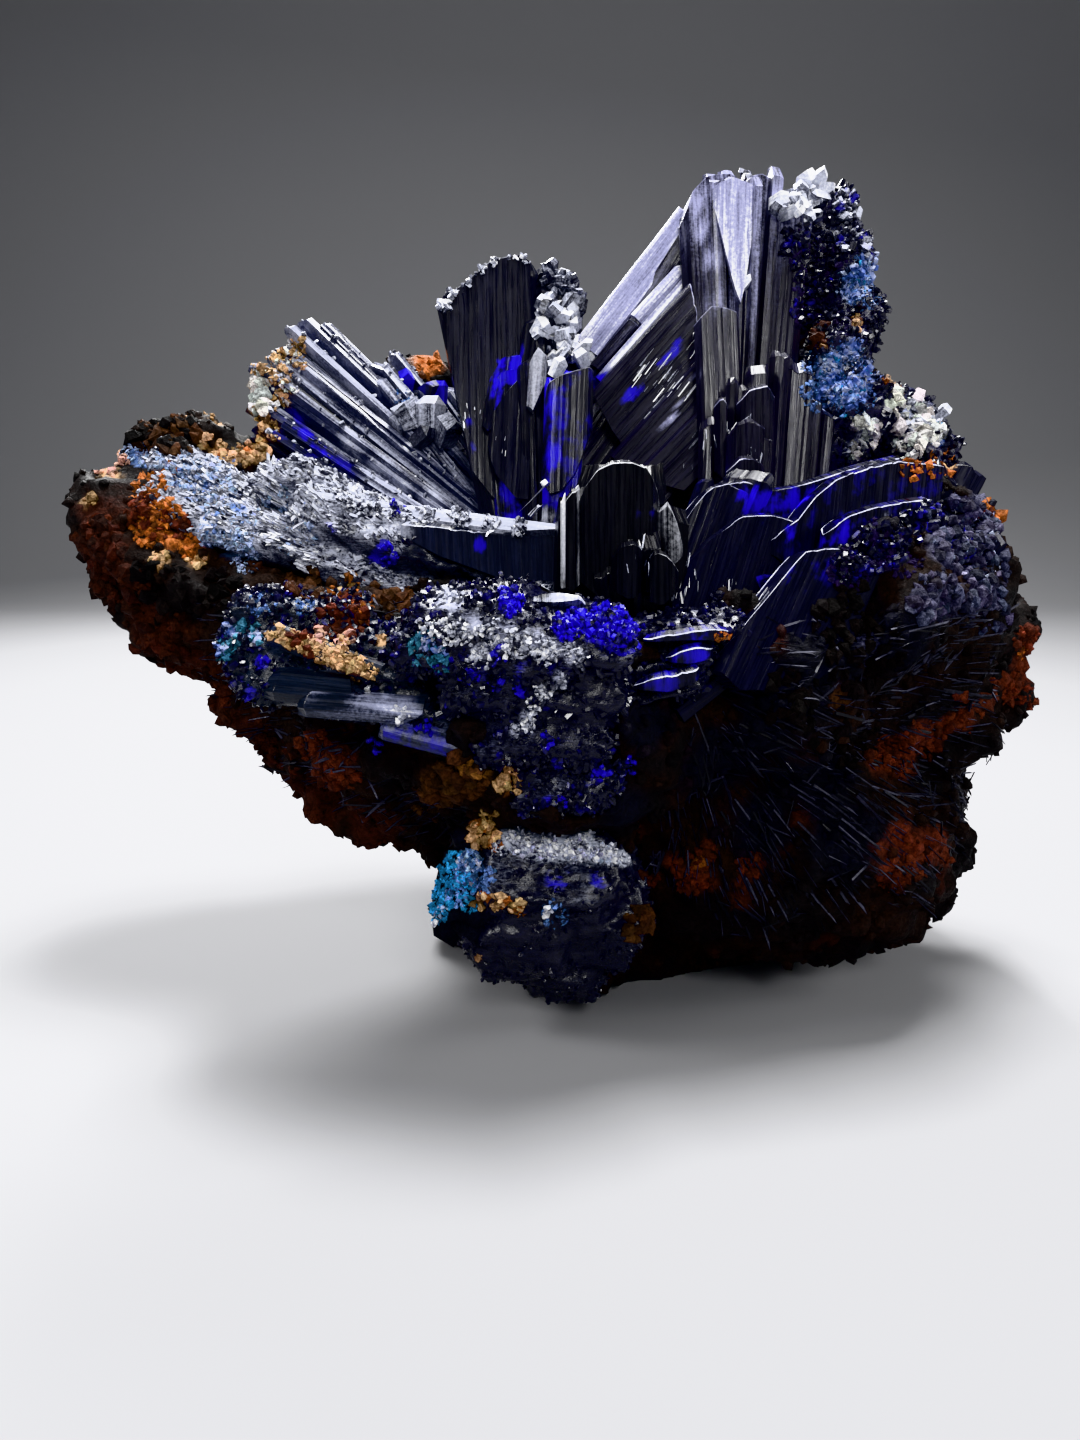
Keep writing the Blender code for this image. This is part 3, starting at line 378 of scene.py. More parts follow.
RED = (0.085, 0.020, 0.012)
RUST = (0.066, 0.017, 0.010)
ORANGE = (0.33, 0.105, 0.032)
CREAM = (0.52, 0.33, 0.18)
TAN = (0.24, 0.11, 0.04)
BROWN = (0.045, 0.020, 0.010)
RED_BROWN = (0.027, 0.008, 0.005)
DARK = (0.004, 0.003, 0.003)
BLUE_BLACK = (0.0025, 0.0025, 0.006)
POWDER = (0.13, 0.21, 0.45)
# Lavender and grey-violet: partly the pale crust's own colour, partly painted sheen on the dark druse of the
# right lobe and of the nodule's top.
LAVENDER = (0.42, 0.44, 0.60)
GREY_VIOLET = (0.060, 0.060, 0.095)
WHITE = (0.62, 0.62, 0.60)
FROST = (0.29, 0.36, 0.53)
ICE = (0.30, 0.38, 0.56)
SKY = (0.045, 0.25, 0.52)
TEAL = (0.06, 0.17, 0.26)
VIOLET = (0.018, 0.013, 0.046)
PINK = (0.58, 0.34, 0.27)
BASE_DARK = (0.0035, 0.0028, 0.003)
BASE_BROWN = (0.012, 0.006, 0.004)

# Coloured places on the rock: colour, then x, y and reach in pixels.
ROCK_MARKS = [
    (BLUE_BLACK, [
        (885, 545, 34), (855, 560, 30), (840, 640, 62), (780, 700, 62), (900, 640, 42), (720, 760, 52),
        (820, 780, 50), (760, 820, 42), (650, 720, 34), (850, 840, 40), (620, 800, 30)]),
    (RED_BROWN, [
        (100, 560, 40), (150, 620, 42), (200, 680, 42), (90, 515, 22), (245, 735, 34), (310, 800, 34),
        (270, 660, 30), (380, 830, 30)]),
    (DARK, [
        (180, 600, 26), (240, 600, 22), (282, 590, 12), (150, 592, 15), (150, 420, 14), (170, 430, 15),
        (186, 440, 12), (100, 480, 12), (540, 960, 40), (800, 920, 40), (700, 920, 40), (400, 780, 24)]),
    (POWDER, [
        (140, 455, 11), (170, 460, 13), (200, 485, 17), (230, 500, 20), (210, 530, 15), (235, 545, 14),
        (190, 470, 12), (120, 444, 8), (270, 605, 11), (250, 615, 8), (300, 612, 8), (400, 396, 10)]),
    (LAVENDER, [(262, 500, 22), (290, 530, 22), (270, 470, 15), (302, 555, 13), (312, 500, 16)]),
    (ORANGE, [
        (150, 490, 13), (165, 511, 13), (150, 530, 11), (172, 540, 11), (192, 546, 9), (166, 470, 8),
        (350, 600, 18), (510, 780, 11), (985, 508, 6), (996, 516, 6), (960, 465, 6), (725, 636, 6),
        (430, 362, 16), (1028, 650, 9), (700, 862, 7), (224, 458, 5), (248, 452, 5)]),
    (RUST, [
        (140, 515, 9), (180, 525, 8), (342, 620, 12), (366, 616, 10), (332, 770, 24), (312, 745, 13),
        (690, 876, 13), (706, 850, 9), (750, 865, 11), (742, 880, 7), (645, 880, 8), (880, 760, 16),
        (905, 746, 16), (930, 735, 14), (960, 716, 14), (990, 700, 14), (1010, 684, 12), (1024, 664, 12),
        (1032, 636, 10), (910, 862, 17), (930, 842, 15), (896, 882, 13), (946, 856, 11), (880, 850, 9),
        (300, 840, 9), (225, 700, 8)]),
    (CREAM, [
        (110, 468, 9), (130, 438, 8), (160, 562, 7), (196, 561, 7), (146, 411, 7), (165, 403, 7), (194, 415, 7),
        (86, 500, 5), (215, 450, 6), (232, 461, 6), (258, 453, 7), (205, 466, 5), (490, 762, 6)]),
    (TAN, [(470, 772, 20), (385, 590, 9)]),
    (RED, [
        (888, 756, 18), (910, 745, 16), (925, 732, 13), (903, 768, 12), (945, 724, 11), (905, 838, 16),
        (925, 852, 15), (890, 868, 13), (940, 836, 9), (1030, 650, 9), (1036, 672, 9), (672, 862, 9),
        (700, 880, 9), (745, 866, 9)]),
    (BROWN, [(302, 584, 10), (330, 576, 12), (386, 592, 13), (402, 610, 10), (440, 790, 24), (840, 700, 12)]),
    (GREY_VIOLET, [
        (960, 540, 34), (940, 600, 25), (985, 590, 25), (985, 500, 18), (800, 560, 10), (870, 640, 16)]),
]

# Beds of crumbs: colour, their least and greatest size, and x, y, reach (in pixels) and number.
CRUMB_BEDS = [
    (ORANGE, (0.5, 1.7), [
        (150, 492, 20, 90), (166, 512, 18, 90), (150, 531, 18, 80), (190, 545, 13, 50), (172, 470, 8, 16),
        (892, 378, 11, 22), (908, 467, 14, 22), (940, 464, 16, 26), (352, 600, 24, 60), (1028, 655, 12, 16),
        (990, 510, 12, 16), (722, 637, 7, 10), (430, 362, 13, 30)]),
    (CREAM, (0.5, 1.8), [
        (150, 411, 9, 20), (168, 402, 10, 26), (190, 408, 10, 26), (204, 440, 7, 12), (222, 452, 12, 34),
        (245, 455, 13, 34), (262, 448, 9, 20), (160, 560, 9, 18), (196, 560, 9, 14), (90, 500, 6, 10),
        (510, 780, 14, 36), (484, 836, 15, 46), (490, 816, 8, 16), (480, 899, 7, 14), (498, 902, 7, 14),
        (518, 907, 7, 14), (856, 324, 7, 8)]),
    (CREAM, (0.35, 1.3), [
        (276, 632, 9, 40), (292, 638, 10, 50), (308, 645, 11, 60), (324, 651, 12, 60), (340, 657, 12, 60),
        (356, 664, 10, 50), (370, 670, 8, 30), (352, 586, 14, 30)]),
    (RED, (0.5, 1.8), [
        (1028, 640, 14, 60), (1040, 668, 12, 50), (1034, 700, 12, 50), (1014, 694, 13, 40), (300, 645, 14, 26),
        (145, 505, 12, 40), (160, 525, 14, 40), (350, 612, 18, 40), (984, 512, 9, 14)]),
    (PINK, (0.6, 2.0), [(108, 466, 12, 36), (122, 458, 8, 14), (318, 636, 9, 14), (344, 640, 9, 14)]),
    (RUST, (0.5, 1.9), [
        (138, 515, 14, 50), (180, 527, 12, 40), (345, 616, 24, 90), (330, 770, 28, 110), (312, 745, 16, 26),
        (690, 874, 20, 40), (706, 852, 11, 18), (749, 866, 13, 26), (650, 880, 10, 12), (892, 756, 22, 40),
        (925, 738, 20, 36), (965, 714, 20, 36), (1008, 686, 18, 30), (1030, 650, 14, 24), (915, 858, 22, 44),
        (892, 880, 14, 20), (100, 530, 16, 26)]),
    (RED_BROWN, (0.8, 3.0), [
        (100, 545, 26, 60), (120, 590, 28, 60), (165, 640, 32, 60), (215, 700, 30, 50), (270, 770, 34, 50),
        (812, 338, 14, 16)]),
    (BROWN, (0.8, 3.0), [
        (150, 432, 22, 50), (178, 436, 20, 50), (305, 585, 18, 36), (400, 604, 18, 40), (462, 778, 24, 50),
        (430, 800, 22, 30), (640, 925, 16, 26)]),
    (DARK, (0.8, 3.0), [(150, 430, 22, 40), (180, 430, 22, 40), (160, 590, 30, 40), (220, 600, 28, 40)]),
    (FROST, (0.35, 1.1), [
        (112, 440, 10, 50), (128, 448, 13, 90), (150, 455, 15, 130), (180, 468, 20, 240), (212, 492, 24, 300),
        (236, 528, 22, 240), (208, 535, 13, 90), (246, 560, 14, 90), (222, 462, 12, 60)]),
    (POWDER, (0.35, 1.1), [
        (190, 480, 22, 60), (225, 520, 22, 60), (262, 604, 14, 60), (305, 605, 10, 30), (404, 398, 10, 26),
        (835, 372, 32, 200), (850, 395, 26, 150), (815, 395, 16, 70), (862, 290, 22, 130), (868, 262, 14, 60),
        (480, 874, 16, 60), (556, 914, 15, 40)]),
    (ICE, (0.35, 1.2), [
        (200, 480, 22, 90), (240, 520, 22, 110), (270, 500, 20, 100), (295, 535, 20, 100), (835, 372, 36, 120),
        (860, 285, 24, 70), (470, 860, 12, 40), (440, 905, 12, 26)]),
    (SKY, (0.4, 1.3), [
        (448, 875, 15, 90), (440, 900, 13, 80), (438, 915, 9, 40), (455, 860, 10, 30), (462, 885, 13, 70),
        (470, 905, 9, 30), (848, 385, 34, 24), (866, 275, 18, 16)]),
    (POWDER, (0.4, 1.3), [
        (466, 872, 13, 70), (480, 888, 10, 30), (458, 896, 12, 40), (470, 858, 10, 30), (862, 285, 22, 50),
        (835, 375, 36, 60)]),
    (ORANGE, (0.4, 1.2), [
        (478, 826, 9, 26), (495, 842, 8, 16), (482, 897, 7, 16), (505, 903, 7, 16), (520, 909, 6, 12)]),
    (TEAL, (0.4, 1.4), [
        (224, 650, 12, 40), (236, 632, 12, 36), (254, 634, 10, 26), (425, 648, 18, 60), (440, 662, 10, 24),
        (938, 432, 9, 16)]),
    (WHITE, (0.9, 3.0), [
        (905, 410, 22, 46), (925, 430, 20, 46), (905, 445, 16, 26), (868, 432, 14, 20), (852, 450, 10, 12),
        (255, 382, 12, 26), (262, 402, 12, 26)]),
    (CREAM, (0.5, 1.7), [
        (254, 374, 10, 26), (256, 390, 12, 40), (264, 410, 12, 40), (270, 432, 12, 40), (284, 398, 10, 26),
        (268, 362, 12, 40), (282, 352, 12, 40), (296, 346, 10, 26), (280, 378, 12, 34), (298, 362, 9, 14)]),
    (WHITE, (0.4, 1.3), [(275, 366, 14, 40), (290, 352, 12, 30), (290, 384, 12, 24), (276, 400, 12, 24)]),
    (VIOLET, (0.5, 1.6), [
        (880, 545, 26, 120), (850, 570, 22, 80), (905, 560, 18, 60), (800, 250, 20, 90), (815, 280, 22, 110),
        (808, 312, 18, 70), (835, 255, 14, 50), (838, 320, 12, 30)]),
    (GREY_VIOLET, (0.5, 2.2), [
        (955, 530, 34, 150), (975, 575, 34, 150), (935, 600, 26, 90), (985, 520, 20, 60), (990, 615, 20, 50)]),
    (LAVENDER, (0.3, 1.0), [
        (975, 560, 26, 40), (985, 530, 18, 26), (520, 842, 14, 60), (545, 848, 14, 70), (575, 850, 14, 70),
        (602, 854, 12, 50), (470, 870, 14, 40)]),
    (DARK, (0.8, 2.6), [(850, 620, 36, 60), (870, 660, 40, 60), (790, 700, 34, 50), (850, 720, 50, 70)]),
]

# Lumps that fill out the nodule's left side: the pixel, the place's Y and the lump's size.
NODULE_LOBES = [
    (470, 850, -31, 5.5), (466, 868, -31, 6.5), (460, 886, -31, 7), (456, 904, -30, 7), (452, 920, -29, 5.5),
    (474, 900, -31, 7), (480, 926, -30, 7), (484, 832, -30, 5), (500, 820, -29, 4.5),
]

# Beds of small crystals, whose tones give white crust, painted sheen and glints, and blue: tone, least and
# greatest size, width against length, and x, y, reach (in pixels) and number.
CRYSTAL_BEDS = [
    (BRIGHT, (0.25, 0.9), (0.5, 1.0), [
        (445, 305, 6, 34), (452, 291, 6, 34), (464, 280, 7, 40), (479, 269, 7, 40), (494, 258, 7, 40),
        (510, 253, 7, 46), (527, 257, 7, 40), (746, 172, 5, 10), (435, 922, 6, 14), (549, 911, 4, 8),
        (402, 714, 8, 12)]),
    (Tone(silver=0.4, blue=0.15), (0.7, 2.0), (0.6, 1.0), [
        (548, 275, 11, 24), (562, 280, 12, 26), (575, 292, 9, 18), (556, 292, 10, 16)]),
    (Tone(silver=0.9), (1.0, 2.6), (0.6, 1.0), [
        (550, 312, 10, 12), (566, 322, 12, 16), (574, 345, 10, 12), (560, 350, 12, 12), (556, 366, 7, 12),
        (584, 364, 6, 8), (545, 330, 7, 8)]),
    (Tone(silver=0.95), (0.9, 2.4), (0.6, 1.0), [
        (785, 208, 10, 16), (800, 198, 12, 22), (816, 195, 10, 18), (806, 212, 12, 12)]),
    (Tone(silver=0.45, blue=0.3), (0.6, 1.6), (0.5, 0.9), [
        (845, 205, 14, 36), (858, 225, 14, 36), (868, 248, 12, 30), (848, 240, 12, 24)]),
    (Tone(silver=0.1, blue=0.3), (0.4, 1.2), (0.5, 0.9), [
        (880, 545, 28, 110), (850, 565, 20, 60), (905, 530, 20, 50), (930, 515, 16, 40), (800, 245, 22, 80),
        (815, 275, 22, 80), (810, 310, 18, 60)]),
    (BLUE, (0.35, 1.0), (0.5, 0.9), [
        (606, 626, 20, 190), (622, 636, 18, 140), (568, 626, 15, 120), (511, 603, 13, 90), (388, 556, 10, 24),
        (397, 509, 8, 16), (500, 655, 9, 12), (470, 676, 10, 14), (495, 684, 9, 12), (375, 745, 9, 12),
        (425, 728, 9, 12), (560, 800, 8, 10), (600, 776, 10, 14), (628, 765, 9, 12), (545, 742, 9, 12),
        (520, 690, 8, 10)]),
    (Tone(silver=0.7), (0.25, 0.9), (0.3, 1.0), [
        (400, 510, 12, 70), (430, 513, 11, 60), (460, 518, 11, 60), (490, 524, 9, 44), (520, 527, 8, 30),
        (370, 506, 12, 50)]),
    (BRIGHT, (0.25, 0.75), (0.5, 1.0), [
        (430, 630, 14, 50), (455, 632, 16, 70), (485, 640, 16, 80), (515, 645, 16, 80), (545, 652, 14, 60),
        (572, 652, 10, 30), (545, 690, 12, 50), (532, 706, 9, 30), (526, 726, 9, 34), (480, 658, 12, 40),
        (520, 840, 13, 50), (548, 846, 14, 60), (576, 850, 14, 60), (604, 854, 12, 40), (500, 850, 8, 16)]),
]

# Colours of the side that the photograph doesn't show: centre, reach, colour.
BACK_MARKS = [
    ((20, 32, 62), 10, RUST), ((28, 30, 52), 8, RED_BROWN), ((12, 34, 70), 7, RUST),
    ((-20, 34, 60), 11, RED_BROWN), ((-50, 22, 62), 8, RUST), ((-40, 26, 54), 7, BROWN),
    ((30, 28, 86), 6, ORANGE), ((36, 26, 78), 6, RUST), ((-5, 34, 76), 12, BLUE_BLACK),
    ((50, 14, 56), 10, BLUE_BLACK), ((8, 30, 30), 8, RUST), ((16, 30, 22), 7, BROWN),
    ((-34, 22, 40), 12, BROWN), ((40, 22, 40), 10, RED_BROWN), ((-66, 18, 78), 6, CREAM),
    ((-60, 20, 70), 7, TAN), ((0, 32, 50), 9, GREY_VIOLET), ((-30, 30, 72), 8, BLUE_BLACK),
    ((5, 34, 42), 7, BLUE_BLACK),
]

# Crumbs there: colour, centre, reach, number.
BACK_CRUMBS = [
    (RUST, (20, 32, 62), 11, 170), (ORANGE, (18, 33, 64), 6, 50), (RUST, (-50, 24, 62), 9, 110),
    (ORANGE, (31, 30, 86), 7, 90), (RUST, (8, 30, 30), 9, 110), (RED_BROWN, (-20, 34, 60), 12, 130),
    (CREAM, (-65, 18, 78), 7, 90), (ORANGE, (-60, 20, 72), 7, 60), (VIOLET, (0, 34, 52), 11, 160),
    (RED_BROWN, (40, 22, 40), 11, 90), (RUST, (38, 26, 76), 8, 80), (BROWN, (-36, 24, 42), 13, 120),
]

# Small azurite crystals there: centre, reach, number.
BACK_DRUSE = [
    ((-5, 34, 77), 12, 420), ((50, 14, 58), 11, 260), ((-30, 30, 73), 9, 240), ((5, 34, 43), 8, 150),
    ((26, 30, 74), 7, 120), ((-44, 24, 50), 8, 120),
]


def unit(v):
    v = np.asarray(v, float)
    return v / np.maximum(np.linalg.norm(v, axis=-1, keepdims=True), 1e-9)


def lattice(cells, seed):
    """A random number from -1 to 1 for each whole-numbered place, mixed by large primes."""
    x, y, z = cells[..., 0], cells[..., 1], cells[..., 2]
    mixed = x * 73856093 ^ y * 19349663 ^ z * 83492791 ^ (seed * 7919 + 12345)
    for shift, prime in ((13, 1274126177), (15, 668265263)):
        mixed = (mixed ^ (mixed >> shift)) * prime & 0x7FFFFFFF
    return (mixed & 0xFFFFF) / 0x7FFFF - 1


def noise(points, size, seed=0):
    """Smooth noise from -1 to 1 at the points, with lumps of about that size."""
    scaled = np.asarray(points, float) / size + seed * 0.37
    base = np.floor(scaled).astype(np.int64)
    part = scaled - base
    part = part * part * (3 - 2 * part)
    total = 0
    for corner in np.ndindex(2, 2, 2):
        corner = np.array(corner)
        weight = np.prod(np.where(corner, part, 1 - part), axis=-1)
        total = total + weight * lattice(base + corner, seed)
    return total


def sight(pixel):
    """The direction from the photograph's camera through a pixel."""
    right, up = (pixel[0] - MIDDLE[0]) / FOCAL_PIXELS, (MIDDLE[1] - pixel[1]) / FOCAL_PIXELS
    return SIGHT + UPWARD * up + np.array((right, 0, 0))


def seen_at(x, y, depth):
    """The place at that Y which the photograph shows at a pixel."""
    ray = sight((x, y))
    return CAMERA + ray * (depth - CAMERA[1]) / ray[1]


def surfaces(objects):
    """What a line of sight meets among the objects, in millimetres."""
    points, faces = [], []
    for obj in objects:
        start = len(points)
        points += [vert.co / MM for vert in obj.data.vertices]
        faces += [[corner + start for corner in face.vertices] for face in obj.data.polygons]
    return BVHTree.FromPolygons(points, faces)


SOLIDS = surfaces(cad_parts.values())
MARK_DEPTH = 4  # how far a mark reaches along the line of sight as if it were no step at all
FULL, FALL = 1.6, 1.4  # a mark is whole up to (FULL - 1) / FALL of its reach, and gone at FULL / FALL
STRONG = 0.6  # a tone of this amount clears the amounts that it doesn't have


def spot(x, y, reach):
    """The place on the solids that the photograph shows at a pixel, and the reach there in millimetres."""
    ray = Vector(sight((x, y)))
    place = SOLIDS.ray_cast(Vector(CAMERA), ray)[0] or SOLIDS.find_nearest(Vector(seen_at(x, y, 0)))[0]
    place = np.array(place)
    return place, reach * np.dot(place - CAMERA, SIGHT) / FOCAL_PIXELS


def apart(points, place):
    """How far the points are from the place, where a step along the line of sight counts for less."""
    line = unit(place - CAMERA)
    offset = points - place
    along = np.abs(offset @ line)
    aside = np.maximum(np.sum(offset * offset, axis=1) - along * along, 0)
    return np.sqrt(aside + np.maximum(along - MARK_DEPTH, 0) ** 2)


CRYSTAL_SPOTS = [(tone, [spot(*mark) for mark in marks]) for tone, marks in CRYSTAL_MARKS]
ROCK_SPOTS = [(colour, [spot(*mark) for mark in marks]) for colour, marks in ROCK_MARKS]
ROCK_SPOTS += [(colour, [(np.array(centre), reach)]) for centre, reach, colour in BACK_MARKS]


def toned(points, look):
    """The amounts at the points, changed by the marks near them."""
    for tone, spots in CRYSTAL_SPOTS:
        amounts = np.array(tone[:4])
        for place, reach in spots:
            near = np.clip(FULL - FALL * apart(points, place) / reach, 0, 1)[:, None]
            if tone.dark:
                look = look * (1 - near)
            else:
                cleared = near * (amounts.max() > STRONG) * (amounts == 0)
                look = np.maximum(look * (1 - cleared), near * amounts)
    return look


def store(mesh, name, values):
    """Keeps a colour (four values) or a vector (three) at each point, for the material to read."""
    kind, field = ("FLOAT_COLOR", "color") if values.shape[1] == 4 else ("FLOAT_VECTOR", "vector")
    mesh.attributes.new(name, kind, "POINT").data.foreach_set(field, values.astype(np.float32).ravel())


class Pile:
    """Points (in millimetres) and faces of one piece, with what its material reads at each point."""

    def __init__(self):
        self.points, self.look, self.grain, self.faces, self.size = [], [], [], [], 0

    def add(self, points, faces, look, grain):
        """Points of one body, or bodies x corners x 3, all with the same faces."""
        bodies = points.reshape(-1, *points.shape[-2:])
        corners = bodies.shape[1]
        for face in faces:
            starts = self.size + np.arange(len(bodies))[:, None] * corners
            self.faces += map(tuple, (starts + np.array(face)).tolist())
        self.points.append(points.reshape(-1, 3))
        self.look.append(look.reshape(-1, 4))
        self.grain.append(grain.reshape(-1, 3))
        self.size += len(bodies) * corners

    def piece(self, name, material, slot, replaced=None, smooth=False):
        mesh = bpy.data.meshes.new(name)
        lowest, highest = np.array(CAD_BOX[0]) - ROOM, np.array(CAD_BOX[1]) + ROOM
        points = np.clip(np.concatenate(self.points) * MM, lowest, highest)
        points[:, 2] = np.maximum(points[:, 2], 0)
        mesh.from_pydata(points.tolist(), [], self.faces)
        store(mesh, "look", np.concatenate(self.look))
        store(mesh, "grain", np.concatenate(self.grain))
        return finish_piece(name, mesh, material, slot, replaced, smooth)


def finish_piece(name, mesh, material, slot, replaced=None, smooth=False):
    mesh.materials.clear()
    mesh.materials.append(material)
    mesh.polygons.foreach_set("use_smooth", [smooth] * len(mesh.polygons))
    mesh.update()
    obj = bpy.data.objects.new(name, mesh)
    bpy.context.scene.collection.objects.link(obj)
    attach(obj, "root")
    if replaced:
        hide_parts(replaced)
    return obj


# Striated crystals. Sizes are in millimetres.
STRIA, STRIA_DEPTH = 0.4, 0.055
ROW = 2.2  # between a crystal's rings
OUTLINE = (0.1, 1, 1, -0.1)  # half the thickness from one side of the front to the other, with bevels between
LATH_BEVEL, SLAB_BEVEL = 0.38, 0.7
SLAB_RAGGED = 0.14
SHORTEST = 0.4
# The width of a painted highlight line along a lath's side, and its amount.
EDGE_WIDTH, EDGE_HIGHLIGHT = 0.3, 0.75
NEW_LEVEL = 0.35  # how often a ring has levels of its own
BELOW_TIP = (-2, -1)  # the rings just under the tip's chisel, which bound the painted highlight rim
CHISEL_RISE = {1: 0.10, 2: 0.25, 3: 1}  # the rings on the chisel, and how far up it they are
CHISEL_THIN = 0.78
LINED = 0.25  # how many laths of a blade with painted highlight lines carry one
OVERLAP = 1.25  # how much wider laths are than their share of the blade
SIDE_THICKNESS = 0.62  # of the laths at a blade's sides, against those in its middle
LATH_ROLL = 9  # degrees


def steps(count, run, size):
    """Random levels that stay the same for about run entries and then jump."""
    jumps = rng.random(count) < 1 / run
    return rng.uniform(-size, size, count)[np.cumsum(jumps)]


def closed_faces(rings, count, columns):
    """The sides between rings of count points, and strips that close the first and the last ring."""
    faces = []
    for row in range(rings - 1):
        for k in range(count):
            a, b = row * count + k, row * count + (k + 1) % count
            faces.append((a, b, b + count, a + count))
    top = (rings - 1) * count
    for k in range(columns - 1):
        for base in (0, top):
            loop = [base + k, base + k + 1, base + (count - k - 1) % count, base + (count - k) % count]
            loop = list(dict.fromkeys(loop))
            faces.append(tuple(loop if base == top else loop[::-1]))
    return faces


def prism(pile, start, axis, side, face, half, thick, foot, head, low, high, blue, edge, rim, bevel, ragged,
          taper=1.0, skew=0.0):
    """A striated closed body: a ring of columns that run along the axis from foot(x) to head(x), where x goes
    from -1 to 1 across it, and end in a chisel."""
    columns = max(5, int(2 * half / STRIA))
    across = np.linspace(-1, 1, columns)
    across[1:-1] += rng.uniform(-0.3, 0.3, columns - 2) * 2 / columns
    front = np.interp(across, (-1, -1 + bevel, 1 - bevel, 1), OUTLINE)
    back = np.interp(across, (-1, -1 + bevel, 1 - bevel, 1), (OUTLINE[0], -1, -1, OUTLINE[3]))[::-1][1:-1]
    ring_x = np.concatenate([across, across[::-1][1:-1]])
    ring_y = np.concatenate([front, back])
    count = len(ring_x)
    depth = min(STRIA_DEPTH, thick * 0.06) * (0.45 if rim else 1)
    groove = rng.uniform(-depth, depth, count) + steps(count, 5, depth * 1.8)
    ends = steps(columns, 4, ragged) + rng.uniform(-0.15, 0.15, columns) * ragged
    ends = np.clip(ends, -ragged, 0.3 * ragged)
    ends = np.concatenate([ends, ends[::-1][1:-1]])
    low_end, high_end = foot(ring_x), head(ring_x) + ends
    length = np.maximum(high_end - low_end, SHORTEST)
    rows = max(4, int(length.max() / ROW))
    chisel = min(thick / 2 * rng.uniform(0.4, 1.1), 0.3 * length.max(), 0.5 if rim else 3)
    along = np.linspace(0, 1, rows)
    along[1:-1] += rng.uniform(-0.3, 0.3, rows - 2) / rows
    number = rng.uniform(0, 100)
    white_and_sheen_shift = rng.uniform(-0.4, 0.4) * max(low, high)
    # Painted highlight: a pale line along one side of the body, or along both.
    on_highlight_edge = np.zeros(count)
    if edge:
        on_highlight_edge = np.maximum(on_highlight_edge, ring_x > 1 - EDGE_WIDTH / half)
    if edge == 2:
        on_highlight_edge = np.maximum(on_highlight_edge, ring_x < EDGE_WIDTH / half - 1)
    level = np.zeros(count)
    points, look, grain = [], [], []
    rings = [(t, 0) for t in along[:-1]] + [(1, part) for part in (*BELOW_TIP, *CHISEL_RISE)]
    for t, part in rings:
        share = taper + (1 - taper) * t
        if t and rng.random() < NEW_LEVEL:
            level = steps(count, 7, depth * 1.2)
        body = np.maximum(length - chisel, 0.2)
        far = low_end + t * body
        out = (thick / 2 * (1 + share) / 2 * ring_y
               + np.sign(ring_y) * (groove + level) * np.minimum(1, abs(ring_y) * 2))
        width = half * share
        if part == BELOW_TIP[0]:
            far = far - min(0.06 + 0.12 * rim, 0.4 * body.min() + 0.05)
        if part > 0:
            rise = CHISEL_RISE[part]
            far = far + chisel * rise
            out = thick / 2 * ring_y * (1 - CHISEL_THIN * rise)
            width = width - min(chisel, 0.14 * half) * rise
        points.append(start + side * (ring_x * width + skew * t)[:, None] + face * out[:, None]
                      + axis * far[:, None])
        # White and painted sheen from foot to head, shifted at random for each body.
        silver = low + (high - low) * t + white_and_sheen_shift
        amounts = np.zeros((count, 4))
        amounts[:, 0] = np.maximum(silver, on_highlight_edge * EDGE_HIGHLIGHT)
        amounts[:, 1] = blue * (1 - on_highlight_edge)
        # Painted highlight: a pale band along the top rim where the chisel starts.
        if part in (-1, 1) and rim:
            amounts[:, 0] = 0.75 + 0.25 * steps(count, 6, 1)
            amounts[:, 1] = 0
        look.append(amounts)
        grain.append(np.stack([ring_x * half, far, np.full(count, number)], axis=1))
    points = np.concatenate(points)
    look = toned(points, np.concatenate(look))
    pile.add(points, closed_faces(len(rings), count, columns), look, np.concatenate(grain))


def lath(pile, root, tip, width, thick, face, taper, slant, low, high, blue, edge, skew):
    """One striated prism from root to tip."""
    length = np.linalg.norm(tip - root)
    axis = unit(tip - root)
    face = unit(face - axis * np.dot(face, axis))
    ragged = min(0.07 * length, 0.8) * rng.uniform(0.4, 1.4)
    prism(pile, root, axis, np.cross(axis, face), face, width / 2, thick, lambda x: 0 * x,
          lambda x: length + slant / 2 * x, low, high, blue, edge, 0, LATH_BEVEL, ragged, taper, skew)


def slab(pile, spec):
    """A striated plate with the outline that the photograph shows."""
    start = seen_at(*spec.at)
    face = unit(np.array((spec.turn, -1, spec.lean)))

    def on_plane(pixel):
        ray = sight(pixel)
        return CAMERA + ray * np.dot(start - CAMERA, face) / np.dot(ray, face)

    axis = unit(on_plane((spec.at[0] + spec.axis[0], spec.at[1] + spec.axis[1])) - start)
    side = np.cross(axis, face)
    edges = []
    for line in (spec.lower, spec.upper):
        places = np.array([on_plane(pixel) for pixel in line]) - start
        edges.append(np.array(sorted(zip(places @ side, places @ axis))))
    lowest = min(edges[0][0, 0], edges[1][0, 0])
    highest = max(edges[0][-1, 0], edges[1][-1, 0])
    half, middle = (highest - lowest) / 2, (highest + lowest) / 2
    foot, head = [lambda x, e=e: np.interp(middle + x * half, e[:, 0], e[:, 1]) for e in edges]
    prism(pile, start + side * middle - face * spec.thick / 2, axis, side, face, half, spec.thick, foot, head,
          spec.low, spec.high, spec.blue, spec.edge, spec.rim, min(0.4, SLAB_BEVEL / half), SLAB_RAGGED)


